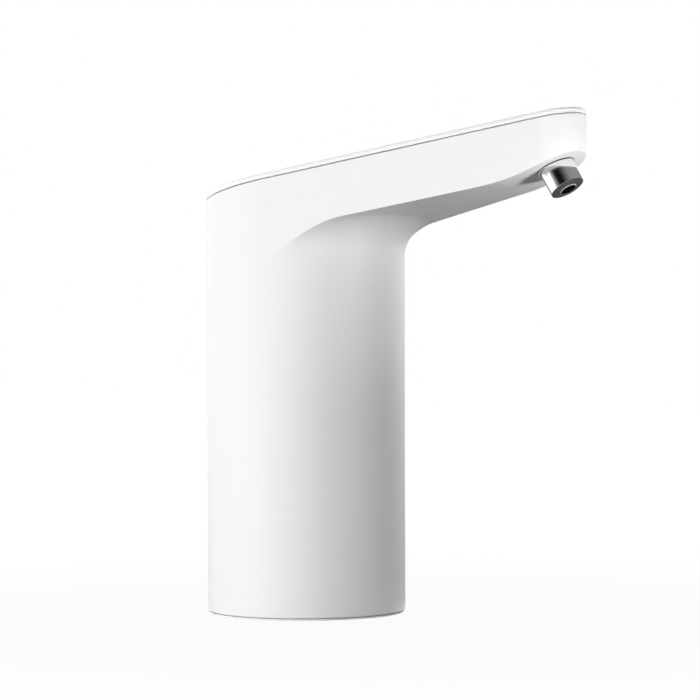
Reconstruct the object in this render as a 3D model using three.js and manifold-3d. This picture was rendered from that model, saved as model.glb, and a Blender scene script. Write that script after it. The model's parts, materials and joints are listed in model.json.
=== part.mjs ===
import * as THREE from 'three';
import { mergeVertices } from 'three/addons/utils/BufferGeometryUtils.js';
import Module from 'manifold-3d';

// Electric pump for a large water bottle: an upright body that sits on the bottle's neck, and a long
// tapered head that carries water out to a leaning spout.
// Millimetres, +Z up, standing on Z = 0. The spout points along +X and the XZ plane is the middle plane.
// Heights and places are worked out round the body's upright axis. The whole model is then moved along X,
// so that the origin lies below the middle of its length.

const degree = Math.PI / 180;

// Fits and cuts
const fitGap = 0.3; // between pieces that are seated on or in one another
const snugGap = 0.1; // between a round piece and the bore that holds it
const bearingGap = 0.08; // round a turning shaft
const overrun = 1; // how far a cutting tool runs past the face that it cuts
const roundOff = 1e-6;

// Facets
const bodySteps = 10; // round a quarter of the body
const shoulderSteps = 2; // from there to where the straight side starts
const noseSteps = 4; // round half of the nose
const throatColumns = 6;
const sideColumns = 4;
const throatSteps = 4;
const undersideSteps = 4;
const edgeSteps = 2;
const flankSteps = 2;
const bendSteps = 2;
const bigSides = 24;
const chamberSides = 20;
const middleSides = 16;
const hoseSides = 10;
const smallSides = 10;
const screwSides = 8;
const nutSides = 6;
const cornerSides = 4;
const portSides = 72; // of the wall at the charging port, where the cover lies close

// Neck socket: cup, sleeve and foot
const neckRadius = 27.5; // of the bottle's neck
const neckSqueeze = 0.1; // how far the sleeve's ribs close on it
const sleeveRib = 0.5;
const sleeveWall = 1.1;
const sleeveRibHeight = 1.6;
const sleeveRibPitch = 7;
const sleeveRibs = 3;
const sleeveSeat = 0.8; // depth of the groove in the ceiling that takes the sleeve's upper edge
const cupWall = 1.6;
const cupRim = 1.4; // how far the cup's land stands out from its wall
const socketDepth = 28.5;
const ceilingThick = 3;
const stopInset = 8; // from the neck's radius in to the ceiling's raised middle
const middleRise = 2;
const footHeight = 0.5;
const footInset = 0.5; // of the foot from the body's side
const cupLand = 4.5; // height of the cup's outer wall, inside the body
const baseScrewInset = 3; // of the screws from the neck's radius
const baseScrewRadius = 1.2;
const baseScrewHead = 2.5;
const baseScrewHeadHeight = 1.5;
const baseScrewBite = 9;
const bossRadius = 3;
const bossHeight = 13;
const bossRib = 1.8;

// Housing
const bodyDraft = 0.2; // how much narrower the body is at its foot
const noseRadius = 11.8;
const noseReach = 102.6; // from the body's axis to the nose's
const seamRoom = 38; // from the charging socket up to the lid's seam, on the body's axis
const headSlope = 10 * degree;
const headDepth = 18.45; // from the seam down to the head's underside
const rampLead = 19.1; // how far before the nose's axis the underside starts to rise
const rampBlend = 76;
const rampSlope = 25 * degree;
const throatRadius = 10.3; // of the hollow blend between body and head
const housingWall = 2.2;
const seamGap = 0.3;
const seamChamfer = 0.35;
const footEdge = 0.35;
const hangerThick = 2; // ribs in the head that carry the hose
const hangerReach = 50;
const hangerPitch = 28;
const hangerShare = 0.5; // of the hose's radius, held by a rib

// Lid
const lidRise = 2;
const lidEdge = 1;
const skirtDepth = 4;
const skirtWall = 1.4;

// Push button and its light ring
const buttonRadius = 10.6;
const buttonTravel = 0.5;
const buttonCap = 1.7;
const buttonDish = 0.35;
const dishShare = 0.75; // of the dish's depth, reached half-way out
const buttonBevel = 0.4;
const collarRadius = 11.9; // flange that keeps the button in
const collarThick = 1;
const stemRadius = 2;
const stemReach = 2;
const ringWidth = 1.7;
const ringFlange = 1.2;
const ringFlangeThick = 0.8;

// Control board, its switch and its lamp
const boardLength = 40;
const boardWidth = 30;
const boardThick = 1.6;
const boardCorner = 3;
const switchSide = 6;
const switchHeight = 3.5;
const plungerRadius = 1.7;
const plungerProud = 1;
const plungerDepth = 1.2;
const plungerGap = 0.3;
const postRadius = 2.6;
const postInset = 3.5; // of the screws from the board's edges
const lampSide = 2;
const lampHeight = 1.4;
const boardScrewRadius = 0.9;
const boardScrewHead = 1.9;
const boardScrewHeadHeight = 1.2;
const boardScrewBite = 5;

// Inlet fitting for the suction hose
const inletBore = 2;
const inletShank = 3.9;
const inletFlange = 7;
const inletFlangeThick = 1.6;
const inletTail = 18; // length of the hose barb below the flange
const inletTailRadius = 3.3;
const inletBarb = 0.7;
const inletBarbPitch = 4.5;
const barbRimShare = 0.7; // of the pitch, where a barb is widest
const barbBackShare = 0.75; // of the pitch, where it has fallen back
const inletBarbs = 3;
const inletTopRadius = 3.2;
const inletNutRadius = 6.4;
const inletNutThick = 2.2;
const inletSealRadius = 0.6;

// Chassis
const chassisFloor = 2;
const cradleWall = 1.4;
const shelfThick = 2;
const standoffRadius = 2.2;
const standoffHeight = 2;

// Cell
const cellRadius = 9.2;
const cellLength = 65;
const cellEdge = 0.6;
const cellNub = 3;
const cellNubHeight = 1.2;
const contactSide = 9;
const contactThick = 0.4;
const cradleInset = 1.9; // between the cradle and the body's wall

// Gear pump
const gearTeeth = 14;
const gearModule = 0.8;
const pressureAngle = 25 * degree;
const backlash = 0.12;
const rootClearance = 0.2;
const gearHeight = 6.2;
const gearPlay = 0.2;
const chamberGap = 0.15;
const pumpWall = 2.85;
const pumpFloor = 3;
const pumpCoverThick = 5;
const portRadius = 2;
const earRadius = 3;
const earReachX = 9.2;
const earReachY = 8.5;
const pumpScrewRadius = 0.85;
const pumpScrewHead = 1.7;
const pumpScrewHeadHeight = 1.3;
const pumpScrewBite = 3.6;
const gasketInset = 0.8;
const gasketWidth = 1.2;
const gasketDepth = 0.8;
const idlerPinRadius = 1.5;
const idlerPinBite = 2.2;
const spigotRadius = 2.6;
const spigotLength = 4.6;
const spigotBarb = 0.2;
const sealRadius = 2.8;
const sealHeight = 1.8;

// Motor
const motorRadius = 12.1;
const motorLength = 30.8;
const motorWall = 0.8;
const motorEdge = 1.2;
const motorBossRadius = 3;
const motorBossHeight = 1.2;
const motorCupWall = 1.4;
const motorCupHeight = 4.5;
const shaftRadius = 1;
const endCapThick = 2.4;
const endCapPlug = 3;
const endBossHeight = 1.8;
const magnetThick = 1.3;
const magnetSpan = 120 * degree;
const magnetOverhang = 1; // past each end of the rotor's core
const airGap = 0.4;
const coreHeight = 17;
const coreHub = 3.4;
const coreNeck = 1.7;
const corePole = 1.8;
const corePoleSpan = 98 * degree;
const corePoles = 3;
const commutatorRadius = 3.2;
const commutatorHeight = 3.6;
const terminalWidth = 2.2;
const terminalThick = 0.5;
const terminalProud = 4;
const terminalShare = 0.62; // of the motor's radius, out to a terminal

// Delivery hose
const hoseRadius = 4.5;
const hoseBore = 3;
const hoseWallGap = 0.8; // between the rising hose and the body's wall
const hoseDrop = 5.6; // of its centreline below the seam, in the head
const hoseTailRun = 3.9; // straight over the pump's spigot
const hoseHeadBend = 14;
const hoseNoseBend = 9;

// Spout
const spoutLead = 6.7; // of the outlet's centre beyond the nose's axis
const spoutDrop = 9.75; // of the outlet's centre below the head's underside
const spoutTilt = 32.5 * degree;
const spoutRadius = 5.78;
const spoutWall = 0.75;
const spoutLength = 12.6;
const collarWall = 0.7;
const collarFaceSlope = 18.5 * degree;
const collarFaceReach = 7.15; // from the outlet up the axis to the collar's lower face
const collarLength = 12.4;
const collarFlange = 8;
const collarFlangeThick = 1.4;
const insertFlange = 0.7;
const insertEdge = 0.35;
const insertPlug = 2.4;
const insertBore = 2.2;
const insertChamfer = 0.7;
const insertSpigot = 5.5;

// Charging socket and its cover
const chargeBoardLength = 17;
const chargeBoardWidth = 16;
const chargeBoardThick = 1.2;
const socketWidth = 8.94;
const socketHeight = 3.2;
const socketLength = 7.3;
const socketShell = 0.3;
const socketCornerShare = 0.45; // of its height
const tongueWidth = 6.7;
const tongueThick = 0.7;
const tongueSetback = 1.6;
const portFlapHeight = 8;
const portFlapThick = 0.9;
const portFlapInset = 0.1; // of its face from the body's side
const portFlapReach = 7.6; // from the middle plane to its free edge
const portHingeReach = 8.6;
const portBarrel = 0.7;
const portBarrelGap = 0.25; // between the barrel and its pocket
const portPin = 0.3;
const portPinBite = 1.2;
const portPlugWidth = 7.4;
const portPlugHeight = 1.7;
const portPlugDepth = 0.8;

// The neck sets how wide the body is: sleeve, cup and moulded wall lie round it

const sleeveInner = neckRadius - neckSqueeze + sleeveRib;
const cupInner = sleeveInner + sleeveWall + fitGap;
const cupRadius = cupInner + cupWall + cupRim;
const bodyRadius = cupRadius + fitGap + housingWall + bodyDraft;
const baseScrewReach = neckRadius - baseScrewInset;
const stopInner = neckRadius - stopInset;

// Solids: joins and cuts of closed shapes, each giving one closed surface again

const library = await Module();
library.setup();

function signedVolume(position, index) {
  const a = new THREE.Vector3();
  const b = new THREE.Vector3();
  const c = new THREE.Vector3();
  let sum = 0;
  for (let i = 0; i < index.length; i += 3) {
    a.fromBufferAttribute(position, index[i]);
    b.fromBufferAttribute(position, index[i + 1]);
    c.fromBufferAttribute(position, index[i + 2]);
    sum += a.dot(b.cross(c));
  }
  return sum;
}

function solid(geometry) {
  const bare = geometry.clone();
  bare.deleteAttribute('normal');
  bare.deleteAttribute('uv');
  const merged = mergeVertices(bare);
  const source = merged.index.array;
  const index = [];
  for (let i = 0; i < source.length; i += 3) {
    const [a, b, c] = [source[i], source[i + 1], source[i + 2]];
    if (a !== b && b !== c && c !== a) index.push(a, b, c);
  }
  if (signedVolume(merged.attributes.position, index) < 0) index.reverse();
  const vertProperties = Float32Array.from(merged.attributes.position.array);
  const triVerts = Uint32Array.from(index);
  return new library.Manifold(new library.Mesh({ numProp: 3, vertProperties, triVerts }));
}

function asSolid(shape) {
  return shape.isBufferGeometry ? solid(shape) : shape;
}

function join(...shapes) {
  return shapes.map(asSolid).reduce((whole, piece) => whole.add(piece));
}

function cut(shape, ...tools) {
  return tools.map(asSolid).reduce((whole, tool) => whole.subtract(tool), asSolid(shape));
}

function common(shape, other) {
  return asSolid(shape).intersect(asSolid(other));
}

function surface(shape) {
  const mesh = asSolid(shape).getMesh();
  const geometry = new THREE.BufferGeometry();
  geometry.setAttribute('position', new THREE.BufferAttribute(Float32Array.from(mesh.vertProperties), 3));
  geometry.setIndex(new THREE.BufferAttribute(Uint32Array.from(mesh.triVerts), 1));
  geometry.computeVertexNormals();
  return geometry;
}

// Basic shapes, upright unless they are turned afterwards

function rod(radius, bottom, top, sides, x = 0, y = 0, topRadius = radius) {
  const geometry = new THREE.CylinderGeometry(topRadius, radius, top - bottom, sides);
  return geometry.rotateX(Math.PI / 2).translate(x, y, (bottom + top) / 2);
}

function pipe(outer, inner, bottom, top, sides) {
  return cut(rod(outer, bottom, top, sides), rod(inner, bottom - overrun, top + overrun, sides));
}

function block(sizeX, sizeY, bottom, top, x = 0, y = 0) {
  return new THREE.BoxGeometry(sizeX, sizeY, top - bottom).translate(x, y, (bottom + top) / 2);
}

function revolve(profile, sides) {
  const points = profile.map(([radius, height]) => new THREE.Vector2(radius, height));
  points.push(points[0].clone());
  return new THREE.LatheGeometry(points, sides).rotateX(Math.PI / 2);
}

// An arc of the shape is drawn with the given number of sides
function prism(shape, bottom, top, arcSides = smallSides) {
  const options = { depth: top - bottom, bevelEnabled: false, curveSegments: arcSides / 2 };
  return new THREE.ExtrudeGeometry(shape, options).translate(0, 0, bottom);
}

function roundedRectangle(width, height, radius) {
  const x = width / 2 - radius;
  const y = height / 2 - radius;
  const shape = new THREE.Shape();
  shape.absarc(x, y, radius, 0, Math.PI / 2);
  shape.absarc(-x, y, radius, Math.PI / 2, Math.PI);
  shape.absarc(-x, -y, radius, Math.PI, 1.5 * Math.PI);
  shape.absarc(x, -y, radius, 1.5 * Math.PI, 2 * Math.PI);
  return shape;
}

// Two round ends on the Y axis, joined by straight sides
function stadium(halfPitch, radius) {
  const shape = new THREE.Shape();
  shape.absarc(0, halfPitch, radius, 0, Math.PI);
  shape.absarc(0, -halfPitch, radius, Math.PI, 2 * Math.PI);
  return shape;
}

// Rings of points, each with as many points as the next, skinned into one closed body
function loft(rings) {
  const count = rings[0].length;
  const points = rings.flat();
  const index = [];
  for (let ring = 0; ring < rings.length - 1; ring += 1) {
    for (let i = 0; i < count; i += 1) {
      const a = ring * count + i;
      const b = ring * count + ((i + 1) % count);
      index.push(a, b, b + count, a, b + count, a + count);
    }
  }
  const middle = (ring) => ring.reduce((sum, point) => sum.add(point), new THREE.Vector3()).divideScalar(count);
  points.push(middle(rings[0]), middle(rings[rings.length - 1]));
  for (let i = 0; i < count; i += 1) {
    const next = (i + 1) % count;
    const last = (rings.length - 1) * count;
    index.push(next, i, points.length - 2);
    index.push(last + i, last + next, points.length - 1);
  }
  const geometry = new THREE.BufferGeometry().setFromPoints(points);
  geometry.setIndex(index);
  return geometry;
}

// Form of the housing

const rampReach = noseReach - rampLead;

function seamAt(x) {
  return seamHeight + x * Math.tan(headSlope);
}

// The underside runs parallel to the seam, then bends up to the nose in an arc and a straight ramp
function undersideAt(x) {
  const level = seamAt(Math.min(x, rampReach)) - headDepth;
  if (x <= rampReach) return level;
  const sine = Math.sin(headSlope) + (x - rampReach) / rampBlend;
  if (sine < Math.sin(rampSlope)) {
    return level + rampBlend * (Math.cos(headSlope) - Math.sqrt(1 - sine * sine));
  }
  const blendReach = rampBlend * (Math.sin(rampSlope) - Math.sin(headSlope));
  const blendRise = rampBlend * (Math.cos(headSlope) - Math.cos(rampSlope));
  return level + blendRise + (x - rampReach - blendReach) * Math.tan(rampSlope);
}

// The plan is a large and a small circle in one tight band, drawn inset from the outer face. Its straight
// sides are divided where the underside below them curves
function plan(inset, divided = true) {
  const body = bodyRadius - inset;
  const nose = noseRadius - inset;
  const tangent = Math.acos((bodyRadius - noseRadius) / noseReach);
  const spread = (from, to, count) => Array.from({ length: count }, (_, i) => from + (to - from) * i / count);
  const arc = (x, radius, angles) => angles.map((angle) => new THREE.Vector2(x + radius * Math.cos(angle),
    radius * Math.sin(angle)));
  const [start] = arc(0, body, [tangent]);
  const [end] = arc(noseReach, nose, [tangent]);
  const throatEnd = Math.sqrt((body + throatRadius + inset) ** 2 - body ** 2) / start.distanceTo(end);
  const shares = [...spread(1, throatEnd, sideColumns), ...spread(throatEnd, 0, throatColumns)];
  const half = [
    ...arc(noseReach, nose, spread(0, tangent, noseSteps)),
    ...(divided ? shares : [1]).map((share) => start.clone().lerp(end, share)),
    ...arc(0, body, spread(tangent, Math.PI / 2, shoulderSteps)),
    ...arc(0, body, spread(Math.PI / 2, Math.PI, bodySteps)),
  ];
  const mirrored = half.slice(1).reverse().map((point) => new THREE.Vector2(point.x, -point.y));
  return [...half, new THREE.Vector2(-body, 0), ...mirrored];
}

function seamRing(inset, lift, divided = true) {
  return plan(inset, divided).map((point) => new THREE.Vector3(point.x, point.y, seamAt(point.x) + lift));
}

// How far the hollow blend hangs below the underside, at a distance out from the body's side
function throatDrop(distance, radius) {
  if (distance >= radius) return 0;
  return radius - Math.sqrt(radius ** 2 - (radius - distance) ** 2);
}

// Rings from the head's lower edge in along the underside, and round the blend to the body's side
function undersideRings(inset) {
  const body = bodyRadius - inset;
  const blend = throatRadius + inset;
  const columns = plan(inset).map((point) => {
    const outward = point.clone().normalize();
    const overhang = point.length() - body;
    const at = (distance) => {
      const place = overhang < roundOff ? point : outward.clone().multiplyScalar(body + distance);
      const height = undersideAt(place.x) + inset - throatDrop(distance, blend);
      return new THREE.Vector3(place.x, place.y, height);
    };
    const reach = overhang < roundOff ? 0 : overhang;
    const inner = Math.min(reach, blend);
    const column = [];
    for (let i = 0; i <= undersideSteps; i += 1) column.push(at(reach + (inner - reach) * i / undersideSteps));
    const sweep = Math.acos(1 - inner / blend);
    for (let i = throatSteps - 1; i >= 0; i -= 1) {
      column.push(at(blend * (1 - Math.cos(sweep * i / throatSteps))));
    }
    return column;
  });
  return columns[0].map((_, i) => columns.map((column) => column[i]));
}

function footRing(inset, height) {
  const share = (bodyRadius - bodyDraft - inset) / bodyRadius;
  return plan(0).map((point) => {
    const foot = point.clone().setLength(bodyRadius * share);
    return new THREE.Vector3(foot.x, foot.y, height);
  });
}

// Heights of the stack inside the body

const housingBottom = footHeight + fitGap;
const middleHeight = socketDepth + middleRise;
const ceilingTop = middleHeight + ceilingThick;
const chassisBottom = ceilingTop + fitGap;
const chassisTop = chassisBottom + chassisFloor;
const pumpBottom = chassisTop + fitGap;
const chamberBottom = pumpBottom + pumpFloor;
const chamberTop = chamberBottom + gearHeight + 2 * gearPlay - fitGap;
const pumpCoverBottom = chamberTop + fitGap;
const pumpCoverTop = pumpCoverBottom + pumpCoverThick;
const motorBottom = pumpCoverTop + fitGap;
const motorTop = motorBottom + motorLength;
const endCapTop = motorTop + fitGap + endCapThick;
const cellBottom = chassisTop + fitGap + contactThick + fitGap;
const cellTop = cellBottom + cellLength;
const shelfBottom = cellTop + cellNubHeight + fitGap + contactThick + fitGap;
const shelfTop = shelfBottom + shelfThick;
const chargeBoardBottom = shelfTop + standoffHeight + fitGap;
const chargeBoardTop = chargeBoardBottom + chargeBoardThick;
const portHeight = chargeBoardTop + fitGap + socketHeight / 2;
const seamHeight = portHeight + seamRoom;

// Plan of the pump: the gears lie side by side along Y, and the inlet port lies on the body's axis

const pitchRadius = gearModule * gearTeeth / 2;
const tipRadius = pitchRadius + gearModule;
const rootRadius = pitchRadius - gearModule - rootClearance;
const chamberRadius = tipRadius + chamberGap;
const pumpRadius = chamberRadius + pumpWall;
const waist = Math.sqrt(chamberRadius ** 2 - pitchRadius ** 2);
const portOffset = waist + portRadius / 2;
const pumpX = portOffset;
const outletHeight = pumpBottom + hoseRadius + fitGap;
const gasketOuter = pumpRadius - gasketInset;

// Hose route, in the middle plane

const hoseStartX = pumpX + pumpRadius + fitGap;
const hoseRiseX = bodyRadius - housingWall - hoseWallGap - hoseRadius;
const hoseFirstBend = hoseRiseX - hoseStartX - hoseTailRun;

// Frames of the pieces on the lid and in the spout

const spoutReach = noseReach + spoutLead;
const spoutHeight = undersideAt(spoutReach) - spoutDrop;
const lidFrame = new THREE.Matrix4().makeRotationY(-headSlope).setPosition(0, 0, seamAt(0) + lidRise);
const spoutFrame = new THREE.Matrix4().makeRotationY(-spoutTilt).setPosition(spoutReach, 0, spoutHeight);
const spoutAxis = new THREE.Vector2(-Math.sin(spoutTilt), Math.cos(spoutTilt));

// Heights under the lid, measured down from its top along its normal

const lidPlate = lidRise * Math.cos(headSlope);
const ringOuter = buttonRadius + fitGap + ringWidth;
const buttonCollarTop = -(lidPlate + fitGap + ringFlangeThick + fitGap);
const buttonBottom = buttonCollarTop - collarThick - stemReach;
const plungerTop = buttonBottom - plungerGap;
const switchTop = plungerTop - plungerProud;
const boardTop = switchTop - switchHeight - fitGap;
const boardBottom = boardTop - boardThick;
const postX = boardLength / 2 - postInset;
const postY = boardWidth / 2 - postInset;
const corners = [[1, 1], [-1, 1], [-1, -1], [1, -1]];

// Screws

function screw(radius, headRadius, headHeight, length) {
  return revolve([[0, 0], [radius, 0], [radius, length], [headRadius, length],
    [headRadius, length + headHeight], [0, length + headHeight]], screwSides);
}

// Housing

// The space inside the outer face, at an inset from it
function cavity(inset) {
  return loft([seamRing(inset, overrun), ...undersideRings(inset), footRing(inset, housingBottom - overrun)]);
}

function housingShell() {
  const rim = seamRing(seamChamfer, -seamGap / 2);
  const edge = seamRing(0, -seamGap / 2 - seamChamfer);
  const outer = loft([rim, edge, ...undersideRings(0), footRing(0, housingBottom + footEdge),
    footRing(footEdge, housingBottom)]);
  return cut(outer, cavity(housingWall));
}

function baseBosses() {
  const bottom = chassisTop + fitGap;
  const wallReach = bodyRadius - housingWall / 2;
  const length = wallReach - baseScrewReach;
  return corners.map(([x, y]) => {
    const angle = Math.atan2(y, x);
    const boss = rod(bossRadius, bottom, bottom + bossHeight, smallSides, baseScrewReach);
    const rib = block(length, bossRib, bottom, bottom + bossHeight, baseScrewReach + length / 2);
    return join(boss.rotateZ(angle), rib.rotateZ(angle));
  });
}

function baseBossHoles() {
  const bottom = chassisTop + fitGap;
  return corners.map(([x, y]) => {
    const hole = rod(baseScrewRadius + snugGap, bottom - overrun, bottom + baseScrewBite + overrun, screwSides,
      baseScrewReach);
    return hole.rotateZ(Math.atan2(y, x));
  });
}

// Ribs across the head's floor, cut out to the hose that lies in them
function hoseHangers() {
  return [0, 1].map((i) => {
    const x = hangerReach + i * hangerPitch;
    const bottom = undersideAt(x) + housingWall / 2;
    const top = seamAt(x) - hoseDrop - hoseRadius * (1 - hangerShare);
    return block(hangerThick, 2 * bodyRadius, bottom, top, x);
  });
}

function hoseTrough() {
  const trough = rod(hoseRadius + fitGap, 0, noseReach, middleSides);
  return trough.rotateY(Math.PI / 2 - headSlope).translate(0, 0, seamAt(0) - hoseDrop);
}

function portRecess() {
  const half = portFlapHeight / 2 + fitGap;
  const inner = bodyRadius - portFlapInset - portFlapThick - fitGap;
  const width = portFlapReach + fitGap + portHingeReach;
  const window = block(2 * bodyRadius, width, portHeight - half, portHeight + half, -bodyRadius,
    portHingeReach - width / 2);
  const core = rod(inner, portHeight - half - overrun, portHeight + half + overrun, portSides);
  return cut(window, core);
}

const portHingeX = -Math.sqrt((bodyRadius - portFlapInset - portBarrel) ** 2 - portHingeReach ** 2);

function portHingePocket() {
  const half = portFlapHeight / 2 + fitGap;
  return rod(portBarrel + portBarrelGap, portHeight - half, portHeight + half, middleSides, portHingeX,
    portHingeReach);
}

function portPinHole() {
  const half = portFlapHeight / 2 + portPinBite + fitGap;
  return rod(portPin + snugGap, portHeight - half, portHeight + half, screwSides, portHingeX, portHingeReach);
}

function portWindow() {
  const half = socketHeight / 2 + fitGap;
  return block(2 * (housingWall + overrun), socketWidth + 2 * fitGap, portHeight - half, portHeight + half,
    -bodyRadius);
}

function mainHousing() {
  const ribs = common(cut(join(...hoseHangers()), hoseTrough()), cavity(housingWall / 2));
  const body = join(housingShell(), ribs, ...baseBosses());
  const spoutHole = rod(spoutRadius + snugGap + collarWall + snugGap, 0, collarLength + overrun, middleSides);
  return surface(cut(body, spoutHole.applyMatrix4(spoutFrame), ...baseBossHoles(), portRecess(),
    portHingePocket(), portPinHole(), portWindow()));
}

// Lid

function topCover() {
  const ring = (inset, lift) => seamRing(inset, lift, false);
  const rings = [ring(seamChamfer, seamGap / 2), ring(0, seamGap / 2 + seamChamfer)];
  for (let i = 0; i <= edgeSteps; i += 1) {
    const angle = Math.PI / 2 * i / edgeSteps;
    rings.push(ring(lidEdge * (1 - Math.cos(angle)), lidRise - lidEdge + lidEdge * Math.sin(angle)));
  }
  const skirtInset = housingWall + fitGap;
  const skirt = cut(loft([ring(skirtInset, lidRise / 2), ring(skirtInset, -skirtDepth)]),
    loft([ring(skirtInset + skirtWall, seamGap / 2), ring(skirtInset + skirtWall, -skirtDepth - overrun)]));
  const posts = corners.map(([x, y]) => rod(postRadius, boardTop + fitGap, -lidPlate / 2, smallSides,
    x * postX, y * postY).applyMatrix4(lidFrame));
  const holes = corners.map(([x, y]) => rod(boardScrewRadius + snugGap, boardTop - overrun,
    boardTop + boardScrewBite + overrun, screwSides, x * postX, y * postY).applyMatrix4(lidFrame));
  const mouth = rod(ringOuter + snugGap, -lidRise - overrun, overrun, bigSides).applyMatrix4(lidFrame);
  return surface(cut(join(loft(rings), skirt, ...posts), mouth, ...holes));
}

function lightRing() {
  const flangeTop = -lidPlate - fitGap;
  const inner = buttonRadius + fitGap;
  return surface(revolve([[inner, flangeTop - ringFlangeThick], [ringOuter + ringFlange,
    flangeTop - ringFlangeThick], [ringOuter + ringFlange, flangeTop], [ringOuter, flangeTop],
    [ringOuter, 0], [inner, 0]], bigSides));
}

function powerButton() {
  const cap = -buttonCap;
  const neck = buttonRadius - buttonCap;
  const collarBottom = buttonCollarTop - collarThick;
  return surface(revolve([[0, buttonBottom], [stemRadius, buttonBottom], [stemRadius, collarBottom],
    [collarRadius, collarBottom], [collarRadius, buttonCollarTop], [neck, buttonCollarTop],
    [neck, cap], [buttonRadius, cap], [buttonRadius, -buttonBevel], [buttonRadius - buttonBevel, 0],
    [buttonRadius - 2 * buttonBevel, 0], [buttonRadius / 2, -buttonDish * dishShare], [0, -buttonDish]],
  bigSides));
}

function switchPlunger() {
  return surface(rod(plungerRadius, switchTop - plungerDepth, plungerTop, smallSides));
}

function switchBody() {
  const body = block(switchSide, switchSide, switchTop - switchHeight, switchTop);
  return surface(cut(body, rod(plungerRadius + fitGap, switchTop - plungerDepth - buttonTravel - fitGap,
    switchTop + overrun, smallSides)));
}

function controlBoard() {
  const board = prism(roundedRectangle(boardLength, boardWidth, boardCorner), boardBottom, boardTop,
    cornerSides);
  const holes = corners.map(([x, y]) => rod(boardScrewRadius + fitGap, boardBottom - overrun,
    boardTop + overrun, screwSides, x * postX, y * postY));
  return surface(cut(board, ...holes));
}

function statusLed() {
  const place = (buttonRadius + ringOuter) / 2;
  const base = boardTop + fitGap;
  const body = block(lampSide, lampSide, base, base + lampHeight / 2, place);
  return surface(join(body, rod(lampSide / 2, base, base + lampHeight, smallSides, place)));
}

function boardScrew() {
  const length = boardThick + boardScrewBite + fitGap;
  return surface(screw(boardScrewRadius, boardScrewHead, boardScrewHeadHeight, length)
    .rotateX(Math.PI).translate(0, 0, boardBottom - fitGap + length));
}

// Neck socket

function baseCup() {
  const inner = cupInner;
  const outer = inner + cupWall;
  const foot = bodyRadius - bodyDraft - footInset;
  const stopOuter = sleeveInner - snugGap;
  const sealSeat = inletShank + 2 * inletSealRadius + 2 * snugGap;
  const sealDepth = 2 * inletSealRadius - fitGap + 2 * snugGap;
  const shell = revolve([[inner, 0], [foot, 0], [foot, footHeight], [cupRadius, footHeight],
    [cupRadius, cupLand], [outer, cupLand], [outer, ceilingTop], [inletShank + snugGap, ceilingTop],
    [inletShank + snugGap, middleHeight + sealDepth], [sealSeat, middleHeight + sealDepth],
    [sealSeat, middleHeight], [stopInner, middleHeight], [stopInner, socketDepth], [stopOuter, socketDepth],
    [stopOuter, socketDepth + sleeveSeat], [inner, socketDepth + sleeveSeat]], bigSides);
  const holes = corners.map(([x, y]) => {
    const angle = Math.atan2(y, x);
    const hole = rod(baseScrewRadius + fitGap, socketDepth - overrun, ceilingTop + overrun, screwSides,
      baseScrewReach);
    const seat = rod(baseScrewHead + fitGap, socketDepth - overrun, socketDepth + baseScrewHeadHeight + fitGap,
      smallSides, baseScrewReach);
    return join(hole.rotateZ(angle), seat.rotateZ(angle));
  });
  return surface(cut(shell, ...holes));
}

function neckSleeve() {
  const ribTip = neckRadius - neckSqueeze;
  const inner = sleeveInner;
  const outer = inner + sleeveWall;
  const bottom = fitGap;
  const top = socketDepth + sleeveSeat - fitGap;
  const profile = [[outer, bottom], [outer, top], [inner, top]];
  for (let i = sleeveRibs; i >= 1; i -= 1) {
    const height = i * sleeveRibPitch;
    profile.push([inner, height + sleeveRibHeight / 2], [ribTip, height],
      [inner, height - sleeveRibHeight / 2]);
  }
  profile.push([inner, bottom]);
  return surface(revolve(profile, bigSides));
}

function baseScrew() {
  const headBottom = socketDepth + snugGap;
  const shankBottom = headBottom + baseScrewHeadHeight;
  const length = chassisTop + fitGap + baseScrewBite - shankBottom;
  return surface(screw(baseScrewRadius, baseScrewHead, baseScrewHeadHeight, length)
    .rotateX(Math.PI).translate(0, 0, shankBottom + length));
}

function inletFitting() {
  const flangeTop = middleHeight - fitGap;
  const flangeBottom = flangeTop - inletFlangeThick;
  const tailEnd = flangeBottom - inletTail;
  const shankTop = chassisTop;
  const top = pumpBottom + pumpFloor - 2 * snugGap - fitGap;
  const profile = [[inletBore, tailEnd]];
  for (let i = 0; i < inletBarbs; i += 1) {
    const bottom = tailEnd + i * inletBarbPitch;
    profile.push([inletTailRadius - inletBarb / 2, bottom],
      [inletTailRadius + inletBarb, bottom + inletBarbPitch * barbRimShare],
      [inletTailRadius - inletBarb / 2, bottom + inletBarbPitch * barbBackShare]);
  }
  profile.push([inletTailRadius, tailEnd + inletBarbs * inletBarbPitch], [inletTailRadius, flangeBottom],
    [inletFlange, flangeBottom], [inletFlange, flangeTop], [inletShank, flangeTop], [inletShank, shankTop],
    [inletTopRadius, shankTop], [inletTopRadius, top], [inletBore, top]);
  return surface(revolve(profile, middleSides));
}

function inletSeal() {
  const seat = middleHeight - fitGap + snugGap + inletSealRadius;
  const ring = new THREE.TorusGeometry(inletShank + snugGap + inletSealRadius, inletSealRadius, screwSides,
    middleSides);
  return surface(ring.translate(0, 0, seat));
}

function inletNut() {
  const bottom = ceilingTop + snugGap;
  const nut = rod(inletNutRadius, bottom, bottom + inletNutThick, nutSides);
  return surface(cut(nut, rod(inletShank + snugGap, bottom - overrun, bottom + inletNutThick + overrun,
    middleSides)));
}

// Chassis: floor, half tube round the cell, and the shelf over it

const cradleInner = cellRadius + fitGap;
const cradleOuter = cradleInner + cradleWall;
const cellOffset = bodyRadius - housingWall - cradleInset - cradleOuter;
const chargeBoardX = -Math.sqrt(cupRadius ** 2 - (chargeBoardWidth / 2) ** 2) + chargeBoardLength / 2;
const standoffX = chargeBoardX + chargeBoardLength / 2 - standoffRadius;
const standoffY = chargeBoardWidth / 2 - standoffRadius;

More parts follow.
